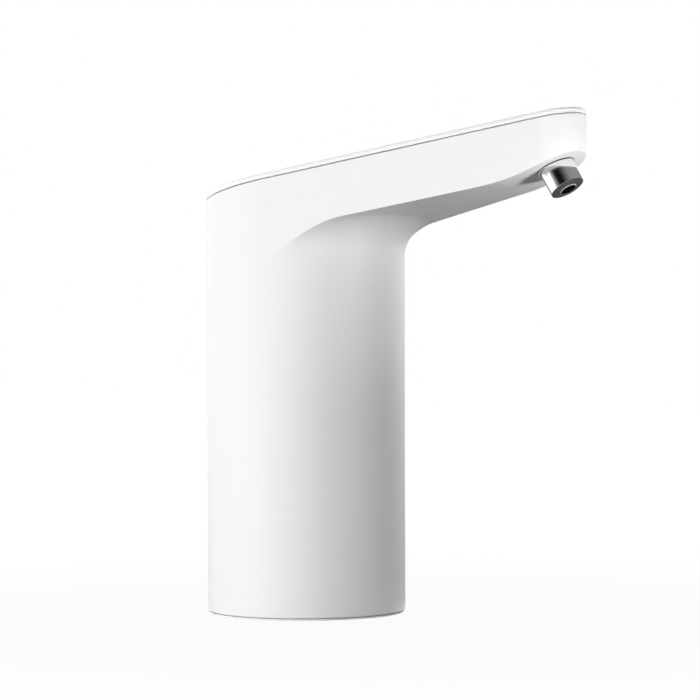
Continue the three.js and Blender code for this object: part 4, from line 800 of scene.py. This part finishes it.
class PUMP_OT_socket(PumpOperator, bpy.types.Operator):
    """Moulds the cup for the bottle's neck, its ribbed sleeve, the suction inlet and the screws beside it"""
    bl_idname = "pump.socket"
    bl_label = "Neck Socket"

    def execute(self, context):
        self.cup(context)
        self.sleeve(context)
        self.inlet(context)
        self.screws(context)
        return {"FINISHED"}

    def cup(self, context):
        s = context.scene.pump_socket
        outer = s.cup_radius + s.cup_wall
        stop_outer = s.sleeve_inner - SNUG
        middle, top = s.depth + s.rise, s.depth + s.rise + s.ceiling
        shank, seal, seal_depth = 4 * MM, 5.3 * MM, 1.1 * MM  # the inlet's hole and the seat of its seal
        cup = revolve("cup_moulding", rounded([
            (s.cup_radius, 0, SOFT_EDGE), (s.foot_radius, 0, FINE_EDGE), (s.foot_radius, s.foot_height, FINE_EDGE),
            (s.land_radius, s.foot_height, 0), (s.land_radius, s.land_height, SOFT_EDGE),
            (outer, s.land_height, SOFT_EDGE), (outer, top, SOFT_EDGE), (shank, top, 0),
            (shank, middle + seal_depth, 0), (seal, middle + seal_depth, 0), (seal, middle, FINE_EDGE),
            (s.stop_radius, middle, SOFT_EDGE), (s.stop_radius, s.depth, SOFT_EDGE),
            (stop_outer, s.depth, FINE_EDGE), (stop_outer, s.depth + s.sleeve_seat, 0),
            (s.cup_radius, s.depth + s.sleeve_seat, 0)]), upright())
        tools = []
        for place in screw_places(s):
            tools.append(rod(SCREW_HEAD + FIT, s.depth - MM, s.depth + SCREW_HEAD_HEIGHT + FIT, place))
            tools.append(rod(SCREW_RADIUS + FIT, s.depth, top + MM, place))
        carve(cup, *tools)
        smooth(cup)
        dress(cup, "pump_unit", "shell_white", ["base_cup"])

    def sleeve(self, context):
        s = context.scene.pump_socket
        inner, outer = s.sleeve_inner, s.sleeve_inner + s.sleeve_wall
        bottom, top = FIT, s.depth + s.sleeve_seat - FIT
        root, crest = 0.5 * MM, 0.6 * MM  # roundings of the ribs
        corners = [(outer, bottom, SOFT_EDGE), (outer, top, SOFT_EDGE), (inner, top, SOFT_EDGE)]
        for rib in (3, 2, 1):
            height = rib * s.rib_pitch
            corners += [(inner, height + s.rib_height / 2, root), (inner - s.rib, height, crest),
                        (inner, height - s.rib_height / 2, root)]
        sleeve = revolve("sleeve_moulding", rounded([*corners, (inner, bottom, SOFT_EDGE)], 5), upright())
        smooth(sleeve, RIB_ANGLE)
        dress(sleeve, "pump_unit", "grey_rubber", ["neck_sleeve"])

    def inlet(self, context):
        s = context.scene.pump_socket
        bore, tube, flange, shank, spigot = 2 * MM, 3.3 * MM, 7 * MM, 3.9 * MM, 3.2 * MM  # radii
        thick, reach, shank_top, spigot_top = 1.6 * MM, 18 * MM, 35.8 * MM, 38.6 * MM
        barbs, pitch, barb = 3, 4.5 * MM, 0.7 * MM
        slope_end, step_end = 0.7, 0.75  # of a barb, as shares of the pitch
        foot, crest, fillet = 0.1 * MM, 0.08 * MM, 0.5 * MM  # roundings
        flange_top = s.depth + s.rise - FIT
        flange_bottom = flange_top - thick
        tail = flange_bottom - reach
        corners = [(bore, tail, FINE_EDGE)]
        for i in range(barbs):
            bottom = tail + i * pitch
            corners += [(tube - barb / 2, bottom, foot if i else FINE_EDGE),
                        (tube + barb, bottom + slope_end * pitch, crest),
                        (tube - barb / 2, bottom + step_end * pitch, 0)]
        corners += [(tube, tail + barbs * pitch, 0), (tube, flange_bottom, fillet),
                    (flange, flange_bottom, FINE_EDGE), (flange, flange_top, FINE_EDGE), (shank, flange_top, 0),
                    (shank, shank_top, 0), (spigot, shank_top, 0), (spigot, spigot_top, FINE_EDGE),
                    (bore, spigot_top, FINE_EDGE)]
        inlet = revolve("inlet_moulding", rounded(corners, 4), upright(), SMALL_SIDES * 2)
        smooth(inlet)
        dress(inlet, "pump_unit", "natural_plastic", ["inlet_fitting"])

    def screws(self, context):
        s = context.scene.pump_socket
        head_bottom = s.depth + SNUG
        head_top = head_bottom + SCREW_HEAD_HEIGHT
        tip = min(head_top + SCREW_LENGTH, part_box("base_screw_1")[1].z)
        turns = [(0, tip, 0), (SCREW_POINT, tip, 0)]
        height = tip - SCREW_RUNOUT
        while height > head_top + SCREW_RUNOUT:
            turns += [(SCREW_RADIUS, height, SCREW_CREST),
                      (SCREW_CORE * SCREW_RADIUS, height - SCREW_FLANK, SNUG)]
            height -= SCREW_PITCH
        outline = rounded([*turns, (SCREW_RADIUS, head_top, 0), (SCREW_HEAD, head_top, SNUG),
                           (SCREW_HEAD, head_bottom, SCREW_CROWN), (0, head_bottom, 0)], 4)
        half, arm, deep = SCREW_CROSS
        for i, place in enumerate(screw_places(s), 1):
            screw = revolve(f"base_screw_turned_{i}", outline, place, SMALL_SIDES)
            bars = [prism(rectangle(-a, a, -b, b), head_bottom - MM, head_bottom + deep, place)
                    for a, b in ((half, arm), (arm, half))]
            carve(screw, *bars)
            smooth(screw)
            dress(screw, "pump_unit", "zinc_steel", [f"base_screw_{i}"])


def screw_places(sizes):
    """Upright on the axis of each screw, in the order of the CAD nodes"""
    places = []
    for number in range(1, 5):
        low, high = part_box(f"base_screw_{number}")
        middle = (low + high) / 2 - BODY_AXIS
        turned = Matrix.Rotation(math.atan2(middle.y, middle.x), 4, "Z")
        places.append(upright() @ turned @ Matrix.Translation((sizes.screw_reach, 0, 0)))
    return places


class PUMP_OT_spout(PumpOperator, bpy.types.Operator):
    """Makes the steel spout, the moulded collar round it and the soft outlet piece"""
    bl_idname = "pump.spout"
    bl_label = "Spout"

    def execute(self, context):
        s = context.scene.pump_spout
        place, inner, edge = spout_frame(), s.radius - s.wall, TRIM_EDGE
        tube = revolve("spout_tube_drawn", rounded([
            (inner, edge, edge), (s.radius, edge, edge), (s.radius, s.tube, edge), (inner, s.tube, edge)], 4),
            place)
        smooth(tube)
        dress(tube, "pump_unit", "steel", ["spout_tube"], steel_finish())
        self.insert(s, place, inner - SNUG)
        self.collar(context, place)
        return {"FINISHED"}

    def insert(self, s, place, plug):
        """A face with a lip round the hole, a plug that fills the tube's end and a spigot for the hose"""
        plug_end, spigot, spigot_end, edge = 3.1 * MM, 2.6 * MM, 8.6 * MM, TRIM_EDGE
        shoulder, crest, face, rim = 0.8 * MM, 0.08 * MM, -s.proud, s.mouth + s.lip_width
        insert = revolve("nozzle_insert_moulding", rounded([
            (s.mouth, face - s.lip, crest), (rim, face - s.lip, edge), (rim, face, SNUG),
            (s.radius - shoulder, face, shoulder), (s.radius, 0, 0), (plug, 0, 0), (plug, plug_end, edge),
            (spigot, plug_end, 0), (spigot, spigot_end, edge), (s.bore, spigot_end, edge),
            (s.bore, plug_end, 0), (s.mouth, plug_end / 2, 0)], 5), place)
        smooth(insert)
        dress(insert, "pump_unit", "dark_rubber", ["nozzle_insert"], insert_finish())
        insert.data.materials.append(black_shade_finish())
        insert.data.materials.append(lip_highlight_finish())
        along = place.inverted()
        for patch in insert.data.polygons:
            middle = along @ patch.center
            away = math.hypot(middle.x, middle.y)
            # Faces inside the bore take the near-black finish: painted shade for the depth of the hole
            if away < s.mouth + SAME:
                patch.material_index = 1
            # Faces on the lip round the hole take the light grey: painted highlight for the lip's sheen
            elif away < rim + SAME and middle.z < face:
                patch.material_index = 2

    def collar(self, context, place):
        """A thin wall round the tube, with a groove where it meets the housing and a flange inside"""
        s, sizes = context.scene.pump_spout, context.scene.pump_housing
        form = Form(sizes)
        inner, outer, flange = s.radius + SNUG, s.radius + SNUG + s.collar_wall, 8 * MM
        edge, thick, seat = TRIM_EDGE, 1.4 * MM, sizes.wall + FIT
        seat_top = seat + thick
        slope = math.tan(s.tilt - s.collar_slope)

        def face(lift):
            return lambda x, y: s.collar_start - slope * x + s.collar_rise * (y / s.radius) ** 2 + lift

        def floor(inset):
            """Where the spout's direction meets a face that lies that far inside the head's underside"""
            def height(x, y):
                along = 0
                for _ in range(SEARCH_STEPS):
                    point = place @ Vector((x, y, along)) - BODY_AXIS
                    along += (form.underside(point.x) + inset - point.z) / 2
                return min(along, s.collar - edge)
            return height

        collar = revolve("spout_collar_moulding", [
            (inner, face(edge)), (inner + edge, face(0)), (outer - edge, face(0)), (outer, face(edge)),
            (outer, floor(-s.groove)), (outer - s.groove, floor(-s.groove)), (outer - s.groove, floor(seat)),
            (flange - edge, floor(seat)), (flange, floor(seat + edge)), (flange, floor(seat_top - edge)),
            (flange - edge, floor(seat_top)), (outer, floor(seat_top)), (outer, s.collar - edge),
            (outer - edge, s.collar), (inner + edge, s.collar), (inner, s.collar - edge)], place)
        smooth(collar)
        # The collar takes the greyer white: painted shade, not a different plastic
        dress(collar, "pump_unit", "lid_white", ["spout_collar"], collar_shade_finish())
        # The groove's faces take the near-black finish: painted shade for the depth of the gap
        collar.data.materials.append(black_shade_finish())
        groove = range(4, 7)  # the bands of faces that bound it, counted from the first ring, drawn near black as painted shade
        for patch in collar.data.polygons:
            if patch.index // ROUND_SIDES in groove:
                patch.material_index = 1


class PUMP_OT_port(PumpOperator, bpy.types.Operator):
    """Moulds the hinged cover of the charging port"""
    bl_idname = "pump.port"
    bl_label = "Charging Cover"

    def execute(self, context):
        port, body = context.scene.pump_port, context.scene.pump_housing.body_radius
        outer, inner, edge = port.inset, port.inset + port.thick, FINE_EDGE
        outline, inset = port_outline(0), port_outline(-edge)
        rows = [(inset, outer, reach) for reach in COVER_REACHES]
        rows += [(outline, outer + edge, 1), (outline, inner - edge, 1)]
        rows += [(inset, inner, reach) for reach in reversed(COVER_REACHES)]
        plate = new_object("port_cover_moulding", skin([wall_ring(*row) for row in rows]))
        hinge, half = hinge_frame(context), port.tall / 2
        barrel = revolve("barrel", rounded([(0, -half, 0), (BARREL_RADIUS, -half, edge),
                                            (BARREL_RADIUS, half, edge), (0, half, 0)]), hinge, SMALL_SIDES)
        tip = body - outer - port.thick - 2 * FIT - PLUG_DEPTH
        plug = prism(slot_outline(*PLUG), tip, body - inner + port.thick / 2, rear(port.height))
        carve(plate, barrel, plug, operation="UNION")
        carve(plate, rod(PIN_RADIUS + PIN_GAP, -half - MM, half + MM, hinge))
        smooth(plate)
        dress(plate, "port_flap", "grey_rubber", ["port_cover"])
        return {"FINISHED"}


class PUMP_OT_hose(PumpOperator, bpy.types.Operator):
    """Draws the silicone hose that runs from the pump to the outlet inside the housing"""
    bl_idname = "pump.hose"
    bl_label = "Delivery Hose"

    def execute(self, context):
        s, spout, hose = context.scene.pump_housing, context.scene.pump_spout, context.scene.pump_hose
        form = Form(s)
        axis = Vector((-math.sin(spout.tilt), math.cos(spout.tilt)))
        along = Vector((math.cos(s.head_slope), math.sin(s.head_slope)))
        head = Vector((hose.rise, form.seam(hose.rise) - hose.drop))
        outlet = Vector((spout.reach, spout.height))
        gap = outlet - head
        reach = (gap.x * axis.y - gap.y * axis.x) / (along.x * axis.y - along.y * axis.x)
        stops = [(hose.start, hose.height, 0), (hose.rise, hose.height, hose.first_bend),
                 (*head, hose.head_bend), (*(head + along * reach), hose.nose_bend),
                 (*(outlet + axis * hose.end), 0)]
        route = rounded(stops, BEND_STEPS)
        rings = self.rings(route, hose.radius) + self.rings(route, hose.bore)[::-1]
        tube = new_object("delivery_hose_drawn", skin(rings))
        smooth(tube, BEND_ANGLE)
        dress(tube, "pump_unit", "clear_rubber", ["delivery_hose"])
        return {"FINISHED"}

    def rings(self, route, radius):
        rings = []
        for i, point in enumerate(route):
            along = (route[min(i + 1, len(route) - 1)] - route[max(i - 1, 0)]).normalized()
            across = Vector((-along.y, along.x)) * radius
            rings.append([BODY_AXIS + Vector((point.x + across.x * math.cos(t), radius * math.sin(t),
                                              point.y + across.y * math.cos(t)))
                          for t in (math.tau * k / SMALL_SIDES for k in range(SMALL_SIDES))])
        return rings


class PUMP_OT_inner_pieces(PumpOperator, bpy.types.Operator):
    """Gives the pieces inside the housing their finishes and soft edges"""
    bl_idname = "pump.inner_pieces"
    bl_label = "Inner Pieces"

    def execute(self, context):
        slots = {piece["node"]: piece["material_slot"] for piece in frame["record"]["subparts"]}
        for name, node in frame["nodes"].items():
            if node.hide_render:
                continue
            node.data.materials.clear()
            node.data.materials.append(slot_finish(slots[name]))
            merged = node.modifiers.new("merged", "WELD")
            merged.merge_threshold = 0.001 * MM
            soft = node.modifiers.new("soft_edges", "BEVEL")
            soft.width = 0.08 * MM
            soft.segments = 2
            soft.limit_method = "ANGLE"
            soft.angle_limit = math.radians(40)
            soft.use_clamp_overlap = True
        return {"FINISHED"}


# What the lamps and cards are turned to, in metres
AIMS = {"body": Vector((0, 0, 0.09)), "nose": Vector((0.068, 0, 0.15)), "outlet": Vector((0.068, 0, 0.147)),
        "table": Vector((0, 0, 0.001))}
# Lamps: aim, degrees right of the camera, degrees up, distance, width and height in metres, watts, and the spread
# in degrees where it isn't 180
LAMPS = {
    "key": ("body", -31, 1, 1.2, 0.5, 0.2, 5.7),
    "left_low": ("body", -60, -3, 0.9, 0.8, 0.12, 2.8),
    "left_side": ("body", -75, 1, 1.2, 0.45, 0.2, 4.9),
    "nose_side": ("nose", -45, 10, 0.22, 0.08, 0.16, 0.015),
    "nose_low": ("nose", 50, -24, 0.14, 0.02, 0.02, 0.016, 60),
    "spout_strip": ("outlet", -103, 8, 0.028, 0.037, 0.034, 0.0063),
    "right_side": ("body", 50, -1, 1.1, 0.6, 0.16, 2.9),
    "right_high": ("body", 72, 40, 1.2, 0.5, 0.5, 1.2),
    "rear_left": ("body", -145, 18, 1.2, 0.6, 0.6, 8.5),
    "rear_right": ("body", 140, 18, 1.2, 0.6, 0.6, 7.5),
    "overhead": ("body", 170, 72, 1.2, 0.7, 0.7, 3.4),
}
# Cards that only reflections see, curved round an aim: from and to in degrees right of the camera, the section as
# (distance, height) points in metres, and greys at degrees right of the camera. The flags outline the pale edges
# against the white and keep the white floor out of the shaded side of the head. The dark card gives the polished
# spout its contrast
CARDS = {
    "flags": ("body", -180, 180, ((1.5, -0.085), (1.5, 0.75)),
              ((-180, 0.5), (95, 0.5), (125, 1.0), (155, 1.0), (175, 0.5))),
    "table_flag": ("table", 95, 265, ((0.04, 0), (1.3, 0)), ((0, 0.08),)),
    "spout_dark": ("outlet", -64, 179, ((0.07, 0.007), (0.062, 0.032), (0.045, 0.054), (0.022, 0.067)),
                   ((-64, 0.6), (-57, 0.15), (-50, 0.02), (-30, 0), (-16, 0.05), (6, 0.22), (32, 0.38),
                    (62, 0.44), (130, 0.44), (145, 0.28), (158, 0.04), (179, 0.04))),
}
SPOUT_LAMPS = ("spout_strip",)  # light the polished tube alone, and show in its reflections
# The floor: the two tones of its paint, the size of its fibres, the white that a view shows, and how much of that
# there is, as (distance in metres, share)
FLOOR_TONES = (0.12, 0.14)
FIBRE_SIZE = 8 * MM
FLOOR_WHITE = 1.06
FLOOR_FADE = ((0.1, 0.9), (0.6, 1.0))


def seen_in_view(tree):
    """The Light Path node, and 1 for its camera rays and their reflections"""
    path = add_node(tree, "ShaderNodeLightPath")
    seen = add_node(tree, "ShaderNodeMath", {0: path.outputs["Is Camera Ray"], 1: path.outputs["Is Glossy Ray"]},
                    operation="MAXIMUM")
    return path, seen.outputs[0]


class PUMP_OT_stage(PumpOperator, bpy.types.Operator):
    """Sets the floor, the backdrop, the lamps and the camera"""
    bl_idname = "pump.stage"
    bl_label = "Stage"

    def execute(self, context):
        s = context.scene.pump_stage
        context.scene.view_settings.view_transform = "Standard"
        self.floor(s)
        self.backdrop(context, s)
        for name, facts in LAMPS.items():
            self.lamp(s, name, *facts)
        for name, facts in CARDS.items():
            self.card(s, name, *facts)
        camera = bpy.data.cameras.new("camera")
        camera.lens = s.lens
        camera.sensor_width = 36
        camera.clip_end = 20
        eye = bpy.data.objects.new("camera", camera)
        eye.matrix_world = (Matrix.Translation(s.eye) @ Matrix.Rotation(s.heading, 4, "Z")
                            @ Matrix.Rotation(math.pi / 2 + s.pitch, 4, "X") @ Matrix.Rotation(s.roll, 4, "Z"))
        context.scene.collection.objects.link(eye)
        context.scene.camera = eye
        return {"FINISHED"}

    def floor(self, s):
        # Painted board, white: lit like paper, and shown to the camera as white with the object's soft shadow
        material, tree = new_material("board_painted_white")
        place = add_node(tree, "ShaderNodeTexCoord").outputs["Object"]
        fibre = add_node(tree, "ShaderNodeTexNoise", {"Vector": place, "Scale": 1 / FIBRE_SIZE, "Detail": 2.0})
        darker, lighter = ((level, level, level, 1) for level in FLOOR_TONES)
        tone = add_node(tree, "ShaderNodeMix", {FACTOR: fibre.outputs["Fac"], COLOUR_A: darker,
                                                COLOUR_B: lighter}, data_type="RGBA")
        paint = add_node(tree, "ShaderNodeBsdfDiffuse", {"Color": tone.outputs[MIXED_COLOUR]})
        white = add_node(tree, "ShaderNodeEmission", {"Strength": FLOOR_WHITE})
        _, seen = seen_in_view(tree)
        reach = add_node(tree, "ShaderNodeVectorMath", {0: place}, operation="LENGTH")
        (near, least), (far, most) = FLOOR_FADE
        fade = add_node(tree, "ShaderNodeMapRange", {"Value": reach.outputs["Value"], "From Min": near,
                                                     "From Max": far, "To Min": least, "To Max": most})
        shown = add_node(tree, "ShaderNodeMath", {0: seen, 1: fade.outputs[0]}, operation="MULTIPLY")
        mixed = add_node(tree, "ShaderNodeMixShader", {0: shown.outputs[0], 1: paint.outputs[0],
                                                       2: white.outputs[0]})
        add_node(tree, "ShaderNodeOutputMaterial", {"Surface": mixed.outputs[0]})
        mesh = bmesh.new()
        for corner in rectangle(-s.floor, s.floor, -s.floor, s.floor):
            mesh.verts.new((*corner, 0))
        mesh.faces.new(mesh.verts)
        floor = new_object("floor", mesh)
        floor.data.materials.append(material)

    def backdrop(self, context, s):
        world = bpy.data.worlds.new("studio")
        world.use_nodes = True
        tree = world.node_tree
        tree.nodes.clear()
        path, seen = seen_in_view(tree)
        clear = add_node(tree, "ShaderNodeMath", {0: seen, 1: path.outputs["Is Transmission Ray"]},
                         operation="MAXIMUM")
        strength = add_node(tree, "ShaderNodeMapRange", {"Value": clear.outputs[0], "To Min": s.ambient,
                                                         "To Max": 1.0})
        light = add_node(tree, "ShaderNodeBackground", {"Color": (1, 1, 1, 1), "Strength": strength.outputs[0]})
        add_node(tree, "ShaderNodeOutputWorld", {"Surface": light.outputs[0]})
        context.scene.world = world

    def round_about(self, s, aim, right, up, reach):
        """The place at those degrees round the aim, and the turn that faces the aim from there"""
        turned = s.heading + math.radians(right)
        rise = math.radians(up)
        way = Vector((math.sin(turned) * math.cos(rise), -math.cos(turned) * math.cos(rise), math.sin(rise)))
        return AIMS[aim] + way * reach, (-way).to_track_quat("-Z", "Y")

    def lamp(self, s, name, aim, right, up, reach, width, height, watts, spread=180):
        """An area lamp round the object"""
        lamp = bpy.data.lights.new(name, "AREA")
        lamp.shape = "RECTANGLE"
        lamp.size = width
        lamp.size_y = height
        lamp.energy = watts * s.level
        lamp.spread = math.radians(spread)
        made = bpy.data.objects.new(name, lamp)
        made.location, turned = self.round_about(s, aim, right, up, reach)
        made.rotation_euler = turned.to_euler()
        made.visible_camera = False
        if name in SPOUT_LAMPS:
            made.visible_diffuse = False
            polished = bpy.data.collections.new(name + "_receivers")
            polished.objects.link(bpy.data.objects["spout_tube_drawn"])
            made.light_linking.receiver_collection = polished
        else:
            made.visible_glossy = False
        bpy.context.scene.collection.objects.link(made)

    def card(self, s, name, aim, start, end, section, greys):
        """A curved card that only reflections see, with its greys blending round it"""
        material, tree = new_material(name)
        place = add_node(tree, "ShaderNodeTexCoord").outputs["Object"]
        angle = add_node(tree, "ShaderNodeTexGradient", {"Vector": place}, gradient_type="RADIAL")
        shade = add_node(tree, "ShaderNodeValToRGB", {"Fac": angle.outputs["Fac"]})
        ramp = shade.color_ramp.elements
        while len(ramp) < len(greys):
            ramp.new(0.5)
        while len(ramp) > len(greys):
            ramp.remove(ramp[-1])
        for stop, (degrees, grey) in zip(ramp, greys):
            stop.position = (degrees + 180) / 360
            stop.color = (grey, grey, grey, 1)
        paper = add_node(tree, "ShaderNodeEmission", {"Color": shade.outputs["Color"]})
        add_node(tree, "ShaderNodeOutputMaterial", {"Surface": paper.outputs[0]})
        turns = [math.radians(start + (end - start) * i / CARD_STEPS) for i in range(CARD_STEPS + 1)]
        rows = [[Vector((math.cos(t) * reach, math.sin(t) * reach, height)) for t in turns]
                for reach, height in section]
        mesh = bmesh.new()
        grid = [[mesh.verts.new(point) for point in row] for row in rows]
        for lower, upper in zip(grid, grid[1:]):
            for i in range(CARD_STEPS):
                mesh.faces.new((lower[i], lower[i + 1], upper[i + 1], upper[i]))
        card = new_object(name, mesh)
        card.data.materials.append(material)
        card.matrix_world = Matrix.Translation(AIMS[aim]) @ Matrix.Rotation(s.heading - math.pi / 2, 4, "Z")
        for kind in ("camera", "diffuse", "transmission", "volume_scatter", "shadow"):
            setattr(card, "visible_" + kind, False)


class PUMP_PT_panel(bpy.types.Panel):
    """Lists the steps in the order in which they run"""
    bl_idname = "PUMP_PT_panel"
    bl_label = "Pump"
    bl_space_type = "VIEW_3D"
    bl_region_type = "UI"
    bl_category = "Pump"

    def draw(self, context):
        for step in STEPS:
            self.layout.operator(step.bl_idname)


SETTINGS = {
    "pump_housing": HousingSettings,
    "pump_lid": LidSettings,
    "pump_button": ButtonSettings,
    "pump_socket": SocketSettings,
    "pump_spout": SpoutSettings,
    "pump_port": PortSettings,
    "pump_hose": HoseSettings,
    "pump_stage": StageSettings,
}

STEPS = (PUMP_OT_housing, PUMP_OT_lid, PUMP_OT_button, PUMP_OT_socket, PUMP_OT_spout, PUMP_OT_port, PUMP_OT_hose,
         PUMP_OT_inner_pieces, PUMP_OT_stage)


def register():
    for kind in (*SETTINGS.values(), *STEPS, PUMP_PT_panel):
        bpy.utils.register_class(kind)
    for name, kind in SETTINGS.items():
        setattr(bpy.types.Scene, name, bpy.props.PointerProperty(type=kind))


def unregister():
    for name in SETTINGS:
        delattr(bpy.types.Scene, name)
    for kind in (PUMP_PT_panel, *reversed(STEPS), *SETTINGS.values()):
        bpy.utils.unregister_class(kind)


def main():
    register()
    for step in STEPS:
        group, action = step.bl_idname.split(".")
        getattr(getattr(bpy.ops, group), action)()


if __name__ == "__main__":
    main()
